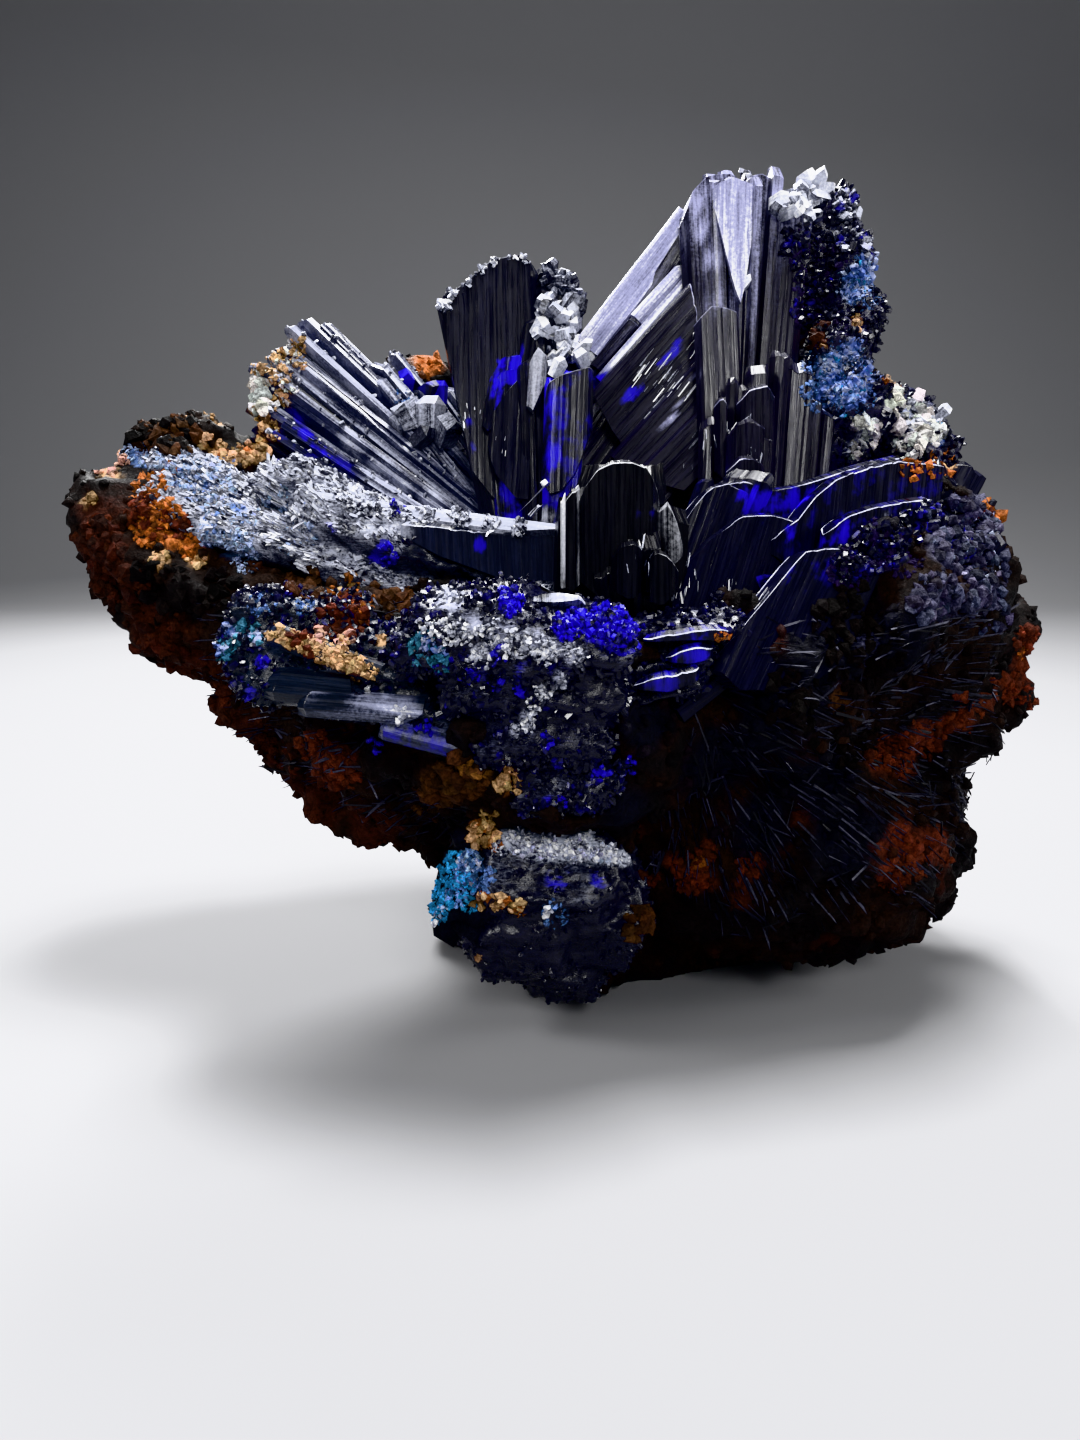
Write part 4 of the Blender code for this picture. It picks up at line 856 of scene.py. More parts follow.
def bundle(pile, blade):
    """Parallel laths that fill a blade's room."""
    root, tip = np.array(blade.root, float), np.array(blade.tip, float)
    axis = unit(tip - root)
    face = unit(np.array(blade.face, float))
    face = unit(face - axis * np.dot(face, axis))
    side = np.cross(axis, face)
    count = blade.laths
    lath_width = blade.width / count * (OVERLAP if count > 1 else 1)
    reach = (blade.width - lath_width) / 2
    for number in range(count):
        this_width = lath_width * rng.uniform(0.75, 1.25) if count > 1 else lath_width
        x = 0 if count == 1 else -1 + 2 * number / (count - 1)
        middle = x * reach
        thick = blade.thick * np.interp(abs(x), (0, 1), (1, SIDE_THICKNESS)) * rng.uniform(0.85, 1.02)
        forward = rng.uniform(-0.1, 0.1) * blade.thick * (count > 1)
        short = 0 if number == count // 2 else rng.uniform(0, 0.07) * np.linalg.norm(tip - root)
        roll = math.radians(rng.uniform(-LATH_ROLL, LATH_ROLL)) * (count > 1)
        looks = face * math.cos(roll) + side * math.sin(roll)
        stray = rng.uniform(-1, 1, 2) * (1.1 if count > 2 else 0.3) * (count > 1)
        start = root + side * middle * blade.taper + face * forward
        end = (tip + side * (middle + stray[0]) + face * (forward + stray[1])
               - axis * (short - blade.slant / 2 * x))
        own_highlight_edge = 1 if blade.edge and rng.random() < LINED else 0
        lath(pile, start, end, this_width, thick, looks, blade.taper, blade.slant / count, blade.low,
             blade.high, blade.blue, own_highlight_edge, rng.uniform(-0.3, 0.3) * (count > 1))


class Nodes:
    """Short names for building a material's nodes."""

    def __init__(self, name):
        self.material = bpy.data.materials.new(name)
        self.material.use_nodes = True
        self.tree = self.material.node_tree
        self.shader = self.tree.nodes["Principled BSDF"]

    def link(self, source, target):
        if isinstance(source, (int, float)):
            target.default_value = source
        elif isinstance(source, tuple):
            target.default_value = (*source, 1) if len(source) == 3 else source
        else:
            self.tree.links.new(source, target)

    def make(self, kind, **settings):
        made = self.tree.nodes.new(kind)
        for key, value in settings.items():
            setattr(made, key, value)
        return made

    def math(self, operation, *values):
        made = self.make("ShaderNodeMath", operation=operation)
        for socket, value in zip(made.inputs, values):
            self.link(value, socket)
        return made.outputs[0]

    def ramp(self, value, low, high, start=0.0, end=1.0):
        made = self.make("ShaderNodeMapRange", interpolation_type="SMOOTHSTEP")
        self.link(value, made.inputs["Value"])
        for socket, number in (("From Min", low), ("From Max", high), ("To Min", start), ("To Max", end)):
            made.inputs[socket].default_value = number
        return made.outputs["Result"]

    def mix(self, amount, first, second):
        made = self.make("ShaderNodeMix", data_type="RGBA")
        self.link(amount, made.inputs["Factor"])
        self.link(first, made.inputs[6])
        self.link(second, made.inputs[7])
        return made.outputs[2]

    def noise(self, vector, scale, detail=2.0, roughness=0.5):
        made = self.make("ShaderNodeTexNoise")
        self.link(vector, made.inputs["Vector"])
        for socket, number in (("Scale", scale), ("Detail", detail), ("Roughness", roughness)):
            made.inputs[socket].default_value = number
        return made.outputs["Fac"]

    def stretched(self, vector, scale):
        made = self.make("ShaderNodeVectorMath", operation="MULTIPLY")
        self.link(vector, made.inputs[0])
        made.inputs[1].default_value = scale
        return made.outputs[0]

    def attribute(self, name, output):
        return self.make("ShaderNodeAttribute", attribute_name=name).outputs[output]

    def bump(self, height, strength, distance):
        made = self.make("ShaderNodeBump")
        made.inputs["Strength"].default_value = strength
        made.inputs["Distance"].default_value = distance
        self.link(height, made.inputs["Height"])
        self.link(made.outputs["Normal"], self.shader.inputs["Normal"])

    def place_mm(self):
        return self.stretched(self.make("ShaderNodeTexCoord").outputs["Object"], (1 / MM, 1 / MM, 1 / MM))


def azurite(name, deep, silver, shine, speckle=0.3, dullness=0.0):
    """Dark striated azurite: white crust and painted sheen where the mesh says so, in streaks, painted lighter
    on faces that point up and near-white where strongest, for white crystals and painted highlights; and deep
    blue where it is thin, painted vivid as light shining through.
    """
    n = Nodes(name)
    look = n.make("ShaderNodeSeparateColor")
    n.link(n.attribute("look", "Color"), look.inputs[0])
    pale = n.attribute("look", "Alpha")
    grain = n.attribute("grain", "Vector")
    place = n.place_mm()
    fine = n.noise(n.stretched(grain, (3.4, 0.13, 7)), 1, 3, 0.65)
    broad = n.noise(n.stretched(grain, (0.9, 0.07, 5)), 1, 2)
    spots = n.noise(place, 0.42, 3, 0.6)
    specks = n.noise(place, 2.4, 3, 0.75)
    normal = n.make("ShaderNodeSeparateXYZ")
    n.link(n.make("ShaderNodeNewGeometry").outputs["Normal"], normal.inputs[0])
    # Painted light: the white and sheen amount is raised on faces that point up and lowered on faces that point
    # down.
    upward_sheen_and_white = n.math("MULTIPLY", look.outputs[0], n.ramp(normal.outputs[2], -0.4, 0.8, 0.75, 1.35))
    gate = n.math("MINIMUM", n.math("MULTIPLY", upward_sheen_and_white, 2.2), 1.0)
    pattern = n.math("MULTIPLY_ADD", n.ramp(fine, 0.25, 0.75, -0.5, 0.5), 0.34,
                     n.ramp(broad, 0.3, 0.7, -0.18, 0.18))
    pattern = n.math("MULTIPLY_ADD", n.ramp(specks, 0.3, 0.7, -0.5, 0.5), speckle, pattern)
    amount = n.math("MULTIPLY_ADD", pattern, gate, upward_sheen_and_white)
    dusk = tuple(d * 2.5 + 0.004 for d in deep)
    colour = n.mix(n.ramp(pattern, -0.2, 0.45), deep, dusk)
    # Toward the sheen colour, and near-white where strongest: white crust and crystals, painted sheen and
    # painted highlights.
    colour = n.mix(n.ramp(amount, 0.10, 1.0), colour, silver)
    colour = n.mix(n.ramp(amount, 0.9, 1.3), colour, (0.85, 0.85, 0.86))
    # The crystal's own blue, painted vivid as light shining through thin parts.
    hue = n.math("MINIMUM", n.math("MULTIPLY", look.outputs[1], 2.0), 1.0)
    cloud = n.math("MULTIPLY_ADD", n.ramp(spots, 0.3, 0.7, -0.5, 0.5), 0.8,
                   n.ramp(broad, 0.3, 0.7, -0.2, 0.2))
    glow = n.ramp(n.math("MULTIPLY_ADD", cloud, hue, look.outputs[1]), 0.25, 1.0)
    colour = n.mix(glow, colour, VIVID_BLUE)
    crust = n.ramp(n.math("MULTIPLY_ADD", n.math("SUBTRACT", specks, 0.5), 1.2, pale), 0.35, 0.6)
    colour = n.mix(crust, colour, n.mix(n.ramp(spots, 0.40, 0.75), (0.08, 0.13, 0.38), (0.46, 0.50, 0.62)))
    rusty = n.ramp(n.math("MULTIPLY_ADD", n.math("SUBTRACT", specks, 0.5), 1.2, look.outputs[2]), 0.35, 0.6)
    colour = n.mix(rusty, colour, n.mix(n.ramp(spots, 0.35, 0.65), RUST, CREAM))
    n.link(colour, n.shader.inputs["Base Color"])
    rough = n.math("MULTIPLY_ADD", n.math("ADD", crust, rusty), 0.5,
                   n.ramp(fine, 0.3, 0.75, 0.2 + dullness, 0.5 + dullness))
    n.link(rough, n.shader.inputs["Roughness"])
    n.shader.inputs["Specular IOR Level"].default_value = shine
    n.shader.inputs["IOR"].default_value = 1.55
    n.bump(n.math("MULTIPLY_ADD", specks, 0.35, fine), 0.45, 0.00010)
    return n.material


def rock_material(name):
    """Rusty iron oxide: the colour comes with the mesh, and noise breaks it up into grains and stains."""
    n = Nodes(name)
    tint = n.attribute("look", "Color")
    gloss = n.attribute("look", "Alpha")
    place = n.place_mm()
    coarse = n.noise(place, 0.35, 4, 0.65)
    grains = n.noise(place, 1.6, 4, 0.7)
    fine = n.noise(place, 5.0, 3, 0.7)
    shade = n.math("MULTIPLY", n.ramp(grains, 0.3, 0.72, 0.35, 1.75), n.ramp(fine, 0.3, 0.7, 0.7, 1.35))
    shaded = n.make("ShaderNodeVectorMath", operation="SCALE")
    n.link(tint, shaded.inputs[0])
    n.link(shade, shaded.inputs["Scale"])
    colour = n.mix(n.ramp(coarse, 0.56, 0.72, 0, 0.55), shaded.outputs[0], BASE_DARK)
    n.link(colour, n.shader.inputs["Base Color"])
    n.link(n.math("SUBTRACT", n.ramp(grains, 0.3, 0.7, 0.95, 0.7), n.math("MULTIPLY", gloss, 0.5)),
           n.shader.inputs["Roughness"])
    n.shader.inputs["Specular IOR Level"].default_value = 0.22
    n.bump(n.math("MULTIPLY_ADD", fine, 0.45, grains), 0.9, 0.0005)
    return n.material


# The rock. Sizes are in millimetres.
HUB = (-6, 0, 40)  # where its ridges fan out from
ROCK_VOXEL, DRUSE_VOXEL = 0.92, 0.6
GLOSS_DARK, GLOSS_RUSTY = 0.5, 0.05


def rock_tint(points):
    """The rock's colour (and gloss) at the points: patches over dark brown, with ragged borders."""
    wobble = noise(points, 5, 3) * 0.30 + noise(points, 2.1, 4) * 0.25 + noise(points, 0.9, 5) * 0.15
    brown = np.clip(0.35 + noise(points, 9, 6) * 0.8 + noise(points, 2.5, 7) * 0.5, 0, 1)[:, None]
    tint = np.array(BASE_DARK) * (1 - brown) + np.array(BASE_BROWN) * brown
    stain = np.clip(noise(points, 7, 8) * 2.2 + noise(points, 2.0, 9) * 0.9 - 1.5, 0, 1)[:, None] * 0.6
    tint = tint * (1 - stain) + np.array(RUST) * stain
    gloss = 0.35 * (1 - brown[:, 0])
    for colour, spots in ROCK_SPOTS:
        own_gloss = GLOSS_DARK if sum(colour) < 0.03 else GLOSS_RUSTY
        for place, reach in spots:
            near = np.clip((1.0 + wobble - apart(points, place) / reach) * 2.6, 0, 1)[:, None]
            tint = tint * (1 - near) + np.array(colour) * near
            gloss = gloss * (1 - near[:, 0]) + near[:, 0] * own_gloss
    return np.concatenate([tint, gloss[:, None]], axis=1)


def ridged(points, size, seed):
    return 1 - 2 * np.abs(noise(points, size, seed))


def fan_ridges(points, size, seed):
    """Ridges that fan out from the rock's hub."""
    outward = points - np.array(HUB)
    far = np.linalg.norm(outward, axis=1, keepdims=True)
    return ridged(unit(outward) * 30 + far * 0.05, size, seed)


def read(items, field, kind=np.float32):
    """What a mesh keeps at each of its items, three numbers for each."""
    values = np.empty(len(items) * 3, kind)
    items.foreach_get(field, values)
    return values.reshape(-1, 3)


def fine_skin(node, voxel, soften):
    """A node's solid with an even fine mesh, and that mesh's points (in millimetres) and normals."""
    obj = bpy.data.objects.new("skin_source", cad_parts[node].data.copy())
    bpy.context.scene.collection.objects.link(obj)
    step = obj.modifiers.new("Remesh", "REMESH")
    step.mode = "VOXEL"
    step.voxel_size = voxel * MM
    ease = obj.modifiers.new("Soften", "SMOOTH")
    ease.factor = 0.5
    ease.iterations = soften
    baked = bpy.data.meshes.new_from_object(obj.evaluated_get(bpy.context.evaluated_depsgraph_get()))
    bpy.data.objects.remove(obj)
    points = read(baked.vertices, "co").astype(float) / MM
    return baked, points, read(baked.vertex_normals, "vector").astype(float)


def rock_skin(material):
    """The rock with finer knobs, ridges that fan out from its hub, and pits."""
    mesh, points, normals = fine_skin("rock_matrix", ROCK_VOXEL, 1)
    rise = ridged(points, 5.0, 13) * 0.55 + ridged(points, 2.6, 14) * 0.5 + noise(points, 1.5, 15) * 0.4
    rise += fan_ridges(points, 2.4, 11) * 0.5 + fan_ridges(points, 1.3, 12) * 0.4
    rise -= np.clip(noise(points, 4.2, 16) - 0.3, 0, 1) * 3.5
    rise = np.clip(rise - 0.7, -2.8, 0.7)
    above_floor = np.clip((points[:, 2] - 0.3) / 1.5, 0, 1)
    moved = points + normals * (rise * above_floor)[:, None]
    moved[:, 2] = np.maximum(moved[:, 2], 0)
    mesh.vertices.foreach_set("co", (moved * MM).astype(np.float32).ravel())
    store(mesh, "look", rock_tint(moved))
    return finish_piece("rock_skin", mesh, material, "rock_matrix", "rock_matrix", True)


def druse_skin(node, material, streaks, silver, blue):
    """A crystal node as a lumpy or streaky mass, for the small crystals to grow on."""
    mesh, points, normals = fine_skin(node, DRUSE_VOXEL, 3)
    rise = ridged(points, 3.2, 41) * 0.5 + ridged(points, 1.7, 42) * 0.35 + noise(points, 1.0, 43) * 0.25
    streaky = fan_ridges(points, 1.5, 46) * 0.7 + fan_ridges(points, 0.8, 47) * 0.4
    rise = rise * (1 - streaks) + streaks * streaky - 0.6
    moved = points + normals * rise[:, None]
    look = np.zeros((len(moved), 4))
    # White crust and painted sheen in streaks, and blue.
    look[:, 0] = silver * (1 + 0.8 * noise(moved, 4, 44) + 0.6 * fan_ridges(moved, 0.7, 48))
    look[:, 1] = blue * (1 + noise(moved, 5, 45))
    mesh.vertices.foreach_set("co", (moved * MM).astype(np.float32).ravel())
    store(mesh, "look", toned(moved, np.clip(look, 0, 1)))
    store(mesh, "grain", moved)
    return finish_piece(node + "_skin", mesh, material, node, node, True)


# Bodies of one unit, and their faces: a wedge-tipped crystal, a slender one, a big crumb and a small one.
WEDGE = np.array([
    (-0.42, -0.42, -0.35), (0.42, -0.42, -0.35), (0.42, 0.42, -0.35), (-0.42, 0.42, -0.35),
    (-0.5, -0.5, 0.68), (0.5, -0.5, 0.68), (0.5, 0.5, 0.68), (-0.5, 0.5, 0.68),
    (-0.36, 0, 1), (0.36, 0, 1),
])
WEDGE_FACES = [(3, 2, 1, 0), (0, 1, 5, 4), (1, 2, 6, 5), (2, 3, 7, 6), (3, 0, 4, 7),
               (4, 5, 9, 8), (6, 7, 8, 9), (5, 6, 9), (7, 4, 8)]
SPLINTER = np.array([(-0.5, -0.29, -0.35), (0.5, -0.29, -0.35), (0, 0.58, -0.35),
                     (-0.5, -0.29, 0.8), (0.5, -0.29, 1), (0, 0.58, 0.88)])
SPLINTER_FACES = [(2, 1, 0), (0, 1, 4, 3), (1, 2, 5, 4), (2, 0, 3, 5), (3, 4, 5)]
GOLD = (1 + 5 ** 0.5) / 2
CRUMB = unit(np.array([
    (-1, GOLD, 0), (1, GOLD, 0), (-1, -GOLD, 0), (1, -GOLD, 0), (0, -1, GOLD), (0, 1, GOLD),
    (0, -1, -GOLD), (0, 1, -GOLD), (GOLD, 0, -1), (GOLD, 0, 1), (-GOLD, 0, -1), (-GOLD, 0, 1),
]))
CRUMB_FACES = [(0, 11, 5), (0, 5, 1), (0, 1, 7), (0, 7, 10), (0, 10, 11), (1, 5, 9), (5, 11, 4), (11, 10, 2),
               (10, 7, 6), (7, 1, 8), (3, 9, 4), (3, 4, 2), (3, 2, 6), (3, 6, 8), (3, 8, 9), (4, 9, 5),
               (2, 4, 11), (6, 2, 10), (8, 6, 7), (9, 8, 1)]
GRAIN = np.array([(1, 0, 0), (-1, 0, 0), (0, 1, 0), (0, -1, 0), (0, 0, 1), (0, 0, -1)], float)
GRAIN_FACES = [(0, 2, 4), (2, 1, 4), (1, 3, 4), (3, 0, 4), (2, 0, 5), (1, 2, 5), (3, 1, 5), (0, 3, 5)]
SLENDER = 0.3  # crystals whose width is a smaller share of their length are splinters
SMALL = 1.75  # crumbs up to this size are grains
THICKNESS, TONES = (0.45, 1), (0.35, 1.35)  # of a crystal, against its width and its bed's tone
KEPT, KEPT_BY_TONE = 0.25, 3  # how likely a crystal stays where marks take its tone away, and by its tone
STRETCH, ROUGHNESS = (0.6, 1.2), 0.16  # of a crumb, against its size
SHADES, HUES, ROCK_SHADES = (0.3, 1.5), (0.93, 1.07), (0.5, 1.7)  # of crumbs, against their colour
SUNK = 0.2
ROCK_CRUMBS = [(3400, (0.6, 1.5)), (2600, (1.3, 2.4))]  # number, least and greatest size
BACK_CRUMB_SIZES = (0.5, 1.3)

BATCH, TRIES = 60000, 12
LOWEST_SOWN = 1.5
BED_DEPTH = 12

# Where to sow: a centre and its reach.
Zone = namedtuple("Zone", "centre reach")
FIBROUS = [Zone((30, -22, 45), 24), Zone((20, -20, 30), 16), Zone((-40, -14, 46), 18), Zone((-22, -18, 34), 12),
           Zone((45, -8, 28), 14), Zone((0, 30, 50), 30), Zone((35, 22, 50), 25), Zone((-35, 24, 60), 25)]


def surface_points(hosts, count):
    """Random places and normals, spread evenly over the hosts' surface."""
    corners = []
    for host in hosts:
        host.data.calc_loop_triangles()
        triangles = read(host.data.loop_triangles, "vertices", np.int32)
        corners.append(read(host.data.vertices, "co")[triangles] / MM)
    corners = np.concatenate(corners).astype(float)
    cross = np.cross(corners[:, 1] - corners[:, 0], corners[:, 2] - corners[:, 0])
    area = np.linalg.norm(cross, axis=1)
    pick = rng.choice(len(area), count, p=area / area.sum())
    u, v = rng.random(count), rng.random(count)
    flip = u + v > 1
    u[flip], v[flip] = 1 - u[flip], 1 - v[flip]
    first, second, third = (corners[pick, k] for k in range(3))
    return first + (second - first) * u[:, None] + (third - first) * v[:, None], unit(cross[pick])


def in_zones(places, zones):
    inside = np.zeros(len(places), bool)
    ragged = noise(places, 4, 31) * 0.25
    for zone in zones:
        inside |= np.linalg.norm(places - np.array(zone.centre), axis=1) < zone.reach * (1 + ragged)
    return inside


def on_flanks(places):
    """Where the rock is fibrous: its flanks below the bowl, and its back."""
    return in_zones(places, FIBROUS) & ((places[:, 2] < 58) | (places[:, 1] > 10))


def sow(hosts, zones, count, up=-1.0):
    """Places and normals inside the zones whose normal points up at least that much."""
    kept_places, kept_normals, have = [], [], 0
    for _ in range(TRIES):
        places, normals = surface_points(hosts, BATCH)
        keep = (normals[:, 2] > up) & (places[:, 2] > LOWEST_SOWN)
        if zones:
            keep &= in_zones(places, zones)
        kept_places.append(places[keep])
        kept_normals.append(normals[keep])
        have += keep.sum()
        if have >= count:
            break
    return np.concatenate(kept_places)[:count], np.concatenate(kept_normals)[:count]


def turned(normals, lean, toward=None, lift=0.3):
    """Three axes for each crystal: its length leans at random off the normal, or lies toward a direction."""
    count = len(normals)
    length = unit(normals + rng.normal(0, lean, (count, 3)))
    if toward is not None:
        flat = toward - normals * np.sum(toward * normals, axis=1, keepdims=True)
        length = unit(unit(flat) + normals * rng.uniform(-0.02, lift, (count, 1))
                      + rng.normal(0, lean, (count, 3)))
    other = unit(np.cross(length, rng.normal(0, 1, (count, 3))))
    return other, np.cross(length, other), length


def random_sizes(sizes, count):
    """Sizes between the least and the greatest, with as many in each octave."""
    return np.exp(rng.uniform(math.log(sizes[0]), math.log(sizes[1]), count))[:, None, None]


def set_down(places, shape, axes):
    x, y, z = (axis[:, None] for axis in axes)
    return places[:, None] + shape[..., :1] * x + shape[..., 1:2] * y + shape[..., 2:] * z


def crystals(pile, where, sizes, slim, lean, tone, source=None, heading=None, lift=0.3, sink=0.0, marked=True):
    """Small wedge-tipped crystals of about one tone, changed by the marks near them where marked. They stand on
    the surface, or lie away from the source, or lie along the heading."""
    places, normals = where
    amounts = np.tile(np.array(tone[:4], float), (len(places), 1))
    if marked:
        amounts = toned(places, amounts)
        kept = rng.random(len(places)) < KEPT + KEPT_BY_TONE * amounts.sum(axis=1)
        places, normals, amounts = places[kept], normals[kept], amounts[kept]
    count = len(places)
    toward = heading if source is None else unit(places - np.array(source))
    axes = turned(normals, lean, toward, lift)
    size = random_sizes(sizes, count)
    wide = size * rng.uniform(*slim, (count, 1, 1))
    thick = wide * rng.uniform(*THICKNESS, (count, 1, 1))
    body, faces = (SPLINTER, SPLINTER_FACES) if slim[1] < SLENDER else (WEDGE, WEDGE_FACES)
    shape = (body[None] - (0, 0, sink)) * np.concatenate([wide, thick, size], axis=2)
    amounts = amounts * rng.uniform(*TONES, (count, 4))
    number = np.repeat(rng.uniform(0, 90, (count, 1, 1)), len(body), axis=1)
    grain = np.concatenate([shape[..., :1], shape[..., 2:], number], axis=2)
    pile.add(set_down(places, shape, axes), faces, np.repeat(amounts[:, None], len(body), axis=1), grain)


def crumbs(pile, places, sizes, tints):
    """Rough grains of rock, each of one colour."""
    count = len(places)
    body, faces = (GRAIN, GRAIN_FACES) if sizes[1] < SMALL else (CRUMB, CRUMB_FACES)
    size = random_sizes(sizes, count) / 2
    axes = turned(unit(rng.normal(0, 1, (count, 3))), 0.3)
    shape = body[None] * size * rng.uniform(*STRETCH, (count, 1, 3))
    shape = shape + rng.normal(0, ROUGHNESS, shape.shape) * size
    pile.add(set_down(places, shape, axes), faces, np.repeat(tints[:, None], len(body), axis=1), shape)


def crumb_tints(colour, count, hues=None):
    """One colour and a little gloss, lighter and darker from crumb to crumb, and of slightly other hues."""
    tints = np.tile((*colour, GLOSS_RUSTY), (count, 1))
    shade = rng.uniform(*SHADES, (count, 1))
    tints[:, :3] *= shade * rng.uniform(*hues, (count, 3)) if hues else shade
    return tints


def bed(tree, x, y, reach, count):
    """Random places, and their normals, in the round bed that the photograph shows at a pixel."""
    places, normals = [], []
    middle = tree.ray_cast(Vector(CAMERA), Vector(sight((x, y))))[0]
    for _ in range(count):
        far, turn = reach * math.sqrt(rng.random()), rng.uniform(0, 2 * math.pi)
        ray = Vector(sight((x + far * math.cos(turn), y + far * math.sin(turn))))
        place, normal, _, _ = tree.ray_cast(Vector(CAMERA), ray)
        if place is not None and (middle is None or (place - middle).length < BED_DEPTH):
            places.append(place)
            normals.append(normal if normal.dot(ray) < 0 else -normal)
    return np.array(places).reshape(-1, 3), np.array(normals).reshape(-1, 3)


def beds(table, tree):
    for *kind, spots in table:
        found = [bed(tree, *each) for each in spots]
        yield kind, [np.concatenate(arrays) for arrays in zip(*found)]


# Crystals that are sown over the pieces: which nodes' pieces, zones (or marks in pixels), the number, least
# and greatest size, width against length, lean, tone, how far up the surface has to face, what else crystals()
# is told, and which of the places are kept.
Sowing = namedtuple("Sowing", "hosts zones count sizes slim lean tone up more only", defaults=(-1.0, {}, None))
GROWTHS = [
    ("ledge_druse", "front_ledge_crystals", [
        Sowing(["front_ledge_crystals", "shelf_blades"], [], 6500, (0.3, 1.0), (0.5, 0.9), 0.6,
               Tone(silver=0.05, blue=0.25)),
        Sowing(["rock_matrix"],
               [(430, 628, 14), (545, 690, 12), (525, 720, 10), (560, 760, 20), (610, 780, 20), (470, 560, 14),
                (700, 600, 26)], 900, (0.3, 1.0), (0.5, 0.9), 0.6, Tone(silver=0.12, blue=0.22)),
    ]),
    ("back_druse", "rock_matrix", [
        Sowing(["rock_matrix"], [Zone(centre, reach)], count, (0.4, 1.6), (0.4, 0.9), 0.5,
               Tone(silver=0.3, blue=0.3), more={"marked": False}) for centre, reach, count in BACK_DRUSE
    ]),
    # Small crystals with white crust and painted sheen on the lying plates and the left sheaf.
    ("plate_druse", "lying_plates", [
        Sowing(["lying_plates"], [], 5200, (0.3, 1.0), (0.3, 0.8), 0.35, Tone(silver=0.5), 0,
               {"source": (-10, -10, 50), "lift": 0.5}),
        Sowing(["left_crystal_sheaf"], [], 1500, (0.25, 0.8), (0.5, 1.1), 0.5, Tone(silver=0.7), 0.2,
               {"marked": False}),
    ]),
    ("shoulder_crystals", "shoulder_druse", [
        Sowing(["shoulder_druse"], [], 4500, (0.35, 1.2), (0.45, 0.9), 0.6, Tone(silver=0.12, blue=0.14)),
    ]),
    # Thin slivers painted white along the fan's striae and at the feet of the plates, as painted glints.
    ("fan_slivers", "tall_crystal_fan", [
        Sowing(["tall_crystal_fan"],
               [(680, 400, 22), (665, 425, 20), (650, 380, 22), (630, 400, 14), (690, 440, 16), (700, 350, 14)],
               500, (0.6, 2.4), (0.05, 0.12), 0.02, Tone(silver=1.1),
               more={"heading": (0.62, 0.1, 0.78), "lift": 0.02, "marked": False}),
        Sowing(["tall_crystal_fan", "centre_blades", "bowl_prisms", "right_wall_plates"],
               [(715, 440, 16), (740, 430, 14), (690, 470, 14), (755, 460, 12), (470, 420, 14), (500, 450, 12),
                (640, 560, 20), (680, 580, 20), (720, 590, 20), (760, 600, 18)], 260, (0.4, 1.4), (0.08, 0.2),
               0.1, Tone(silver=1.0), more={"heading": (0, 0.1, 1), "lift": 0.05, "marked": False}),
    ]),
    ("wing_needles", "lying_plates", [
        Sowing(["rock_matrix", "lying_plates"],
               [(262, 500, 26), (290, 530, 24), (302, 560, 16), (235, 520, 16), (312, 505, 16), (270, 470, 12)],
               2600, (0.9, 2.4), (0.12, 0.26), 0.05, Tone(silver=0.8, pale=0.25), -0.3,
               {"source": (-20, -10, 55), "lift": 0.12, "marked": False}),
    ]),
    # Fibres on the flanks and the back, with faint painted sheen.
    ("rock_fibres", "rock_matrix", [
        Sowing(["rock_matrix"], [], 22000, (1.8, 5.5), (0.035, 0.08), 0.02, Tone(silver=0.42),
               more={"source": (2, -30, 52), "lift": 0.02, "sink": 0.35, "marked": False}, only=on_flanks),
    ]),
    ("nodule_crystals", "foot_nodule", [
        Sowing(["foot_nodule"], [], 2600, (0.25, 0.7), (0.5, 1.0), 0.6, Tone(silver=0.08, blue=0.04)),
    ]),
]
SINGLE_NORMAL = np.array([[0.2, -0.5, 0.8]])


def grow(pieces, sowing, pile):
    zones = [zone if isinstance(zone, Zone) else Zone(*spot(*zone)) for zone in sowing.zones]
    places, normals = sow([pieces[host] for host in sowing.hosts], zones, sowing.count, sowing.up)
    if sowing.only:
        kept = sowing.only(places)
        places, normals = places[kept], normals[kept]
    crystals(pile, (places, normals), sowing.sizes, sowing.slim, sowing.lean, sowing.tone, **sowing.more)


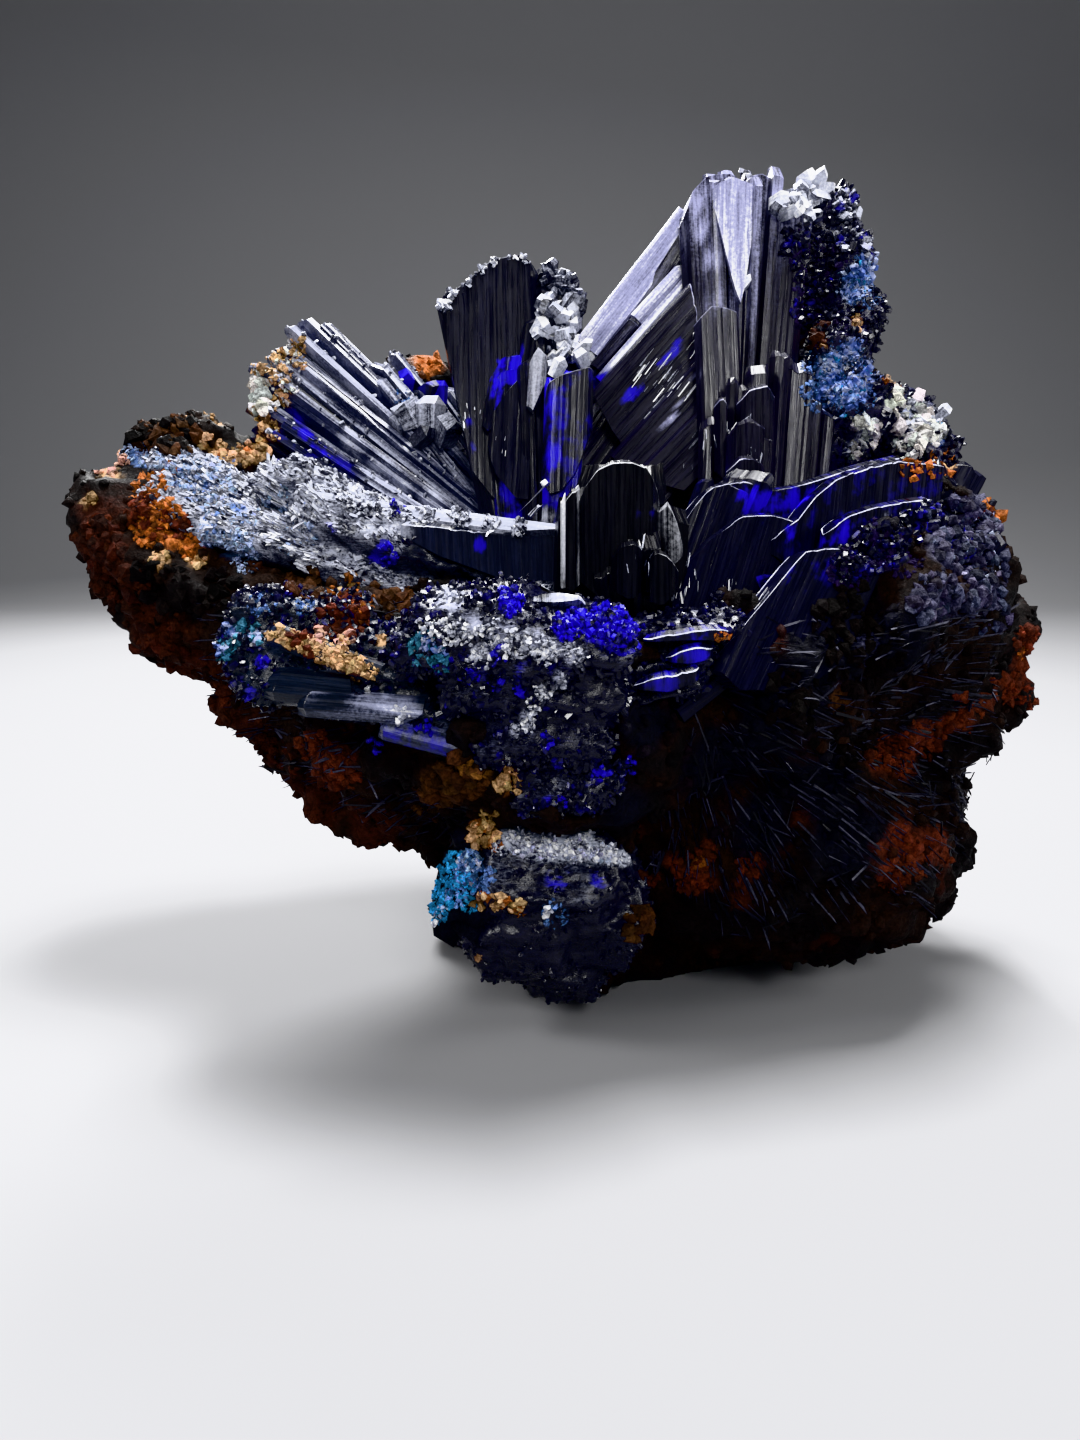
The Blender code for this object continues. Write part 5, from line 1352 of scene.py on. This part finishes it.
def specimen():
    pieces, plates = {}, []
    for name, deep, silver, shine in CRYSTAL_GROUPS:
        material = azurite(name + "_azurite", deep, silver, shine)
        pile = Pile()
        for row in BLADES.get(name, []):
            bundle(pile, Blade(*row))
        for row in SLABS.get(name, []):
            slab(pile, Slab(*row))
        if name not in SKINS:
            pieces[name] = pile.piece(name + "_laths", material, name, name)
            continue
        pieces[name] = druse_skin(name, material, *SKINS[name])
        if pile.size:
            plates.append(pile.piece(name + "_plates", material, name))
    rock = rock_material("iron_oxide")
    skin = rock_skin(rock)
    # Sheen colours of the small crystals and of the fibres: white crust and painted sheen.
    micro = azurite("micro_crystals", (0.001, 0.001, 0.008), (0.50, 0.52, 0.62), 0.45, 0.45)
    fibre = azurite("rock_fibre", (0.0030, 0.0030, 0.0045), (0.08, 0.08, 0.11), 0.25, 0.3, 0.25)
    lobes = Pile()
    for *at, size in NODULE_LOBES:
        crumbs(lobes, seen_at(*at)[None], (size, size * 1.01), np.array([(*BLUE_BLACK, 0.2)]))
    lobes = lobes.piece("nodule_lobes", rock, "foot_nodule", smooth=True)
    everything = surfaces([*pieces.values(), *plates, skin, lobes])
    pieces["rock_matrix"] = skin

    blocks = Pile()
    for at, length, width, silver, blue in SINGLES:
        slim = width / length
        crystals(blocks, (seen_at(*at)[None], SINGLE_NORMAL), (length, length + 0.01), (slim, slim + 0.01), 0.5,
                 Tone(silver=silver * 0.8, blue=blue), marked=False)
    for (tone, sizes, slim), where in beds(CRYSTAL_BEDS, everything):
        crystals(blocks, where, sizes, slim, 0.5, tone, marked=False)
    blocks.piece("single_crystals", micro, "centre_blades")

    lumps = Pile()
    for (colour, sizes), (places, normals) in beds(CRUMB_BEDS, everything):
        crumbs(lumps, places - normals * sizes[0] * SUNK, sizes, crumb_tints(colour, len(places), HUES))
    lumps.piece("crust_crumbs", rock, "rock_matrix")

    for name, slot, sowings in GROWTHS:
        pile = Pile()
        for sowing in sowings:
            grow(pieces, sowing, pile)
        pile.piece(name, fibre if name == "rock_fibres" else micro, slot)

    grains = Pile()
    for count, sizes in ROCK_CRUMBS:
        places, _ = sow([skin], [], count)
        tints = rock_tint(places)
        tints[:, :3] *= rng.uniform(*ROCK_SHADES, (len(places), 1))
        crumbs(grains, places, sizes, tints)
    for colour, centre, reach, count in BACK_CRUMBS:
        places, _ = sow([skin], [Zone(centre, reach)], count)
        crumbs(grains, places, BACK_CRUMB_SIZES, crumb_tints(colour, len(places)))
    grains.piece("rock_crumbs", rock, "rock_matrix", smooth=True)


# The studio, in metres. The floor turns up into a backdrop behind the specimen.
FLOOR_REACH, FLOOR_BACK, BEND, BACKDROP_HEIGHT, CUTS = 1.6, 0.55, 0.35, 1.4, 16
AIM = Vector((0, 0, 0.06))
LIGHTS = [  # name, place, size, watts
    ("back", (-0.12, 0.42, 0.40), 0.20, 6.0),
    ("top", (0.05, 0.02, 0.50), 0.16, 5.4),
    ("left", (-0.34, -0.16, 0.36), 0.12, 1.2),
    ("front", (0.10, -0.50, 0.34), 0.14, 1.6),
    ("right", (0.48, -0.12, 0.28), 0.16, 1.1),
]


def studio():
    """Pale floor and backdrop, soft lights, and the camera of the photograph."""
    profile = [(-FLOOR_REACH, 0)]
    for turn in np.linspace(0, math.pi / 2, CUTS):
        profile.append((FLOOR_BACK + BEND * math.sin(turn), BEND - BEND * math.cos(turn)))
    profile.append((FLOOR_BACK + BEND, BACKDROP_HEIGHT))
    half = len(profile)
    mesh = bpy.data.meshes.new("floor")
    mesh.from_pydata([(x, y, z) for x in (-FLOOR_REACH, FLOOR_REACH) for y, z in profile], [],
                     [(k, k + 1, half + k + 1, half + k) for k in range(half - 1)])
    mesh.polygons.foreach_set("use_smooth", [True] * len(mesh.polygons))
    n = Nodes("pale_floor")
    n.link((0.28, 0.28, 0.29), n.shader.inputs["Base Color"])
    n.shader.inputs["Roughness"].default_value = 0.8
    mesh.materials.append(n.material)
    floor = bpy.data.objects.new("floor", mesh)
    bpy.context.scene.collection.objects.link(floor)

    for name, place, size, power in LIGHTS:
        light = bpy.data.objects.new(name, bpy.data.lights.new(name, "AREA"))
        light.data.size = size
        light.data.energy = power
        light.visible_camera = False
        light.location = place
        light.rotation_euler = (AIM - Vector(place)).to_track_quat("-Z", "Y").to_euler()
        bpy.context.scene.collection.objects.link(light)
    bpy.context.scene.view_settings.view_transform = "Khronos PBR Neutral"
    world = bpy.data.worlds.new("studio")
    world.use_nodes = True
    background = world.node_tree.nodes["Background"]
    background.inputs["Color"].default_value = (0.75, 0.77, 0.80, 1)
    background.inputs["Strength"].default_value = 0.27
    bpy.context.scene.world = world

    camera = bpy.data.objects.new("camera", bpy.data.cameras.new("camera"))
    camera.location = CAMERA * MM
    camera.rotation_euler = (math.pi / 2 - TILT, 0, 0)
    camera.data.lens = LENS
    camera.data.sensor_width = SENSOR
    camera.data.sensor_fit = "AUTO"
    camera.data.clip_start = 0.001
    bpy.context.scene.collection.objects.link(camera)
    bpy.context.scene.camera = camera


specimen()
studio()
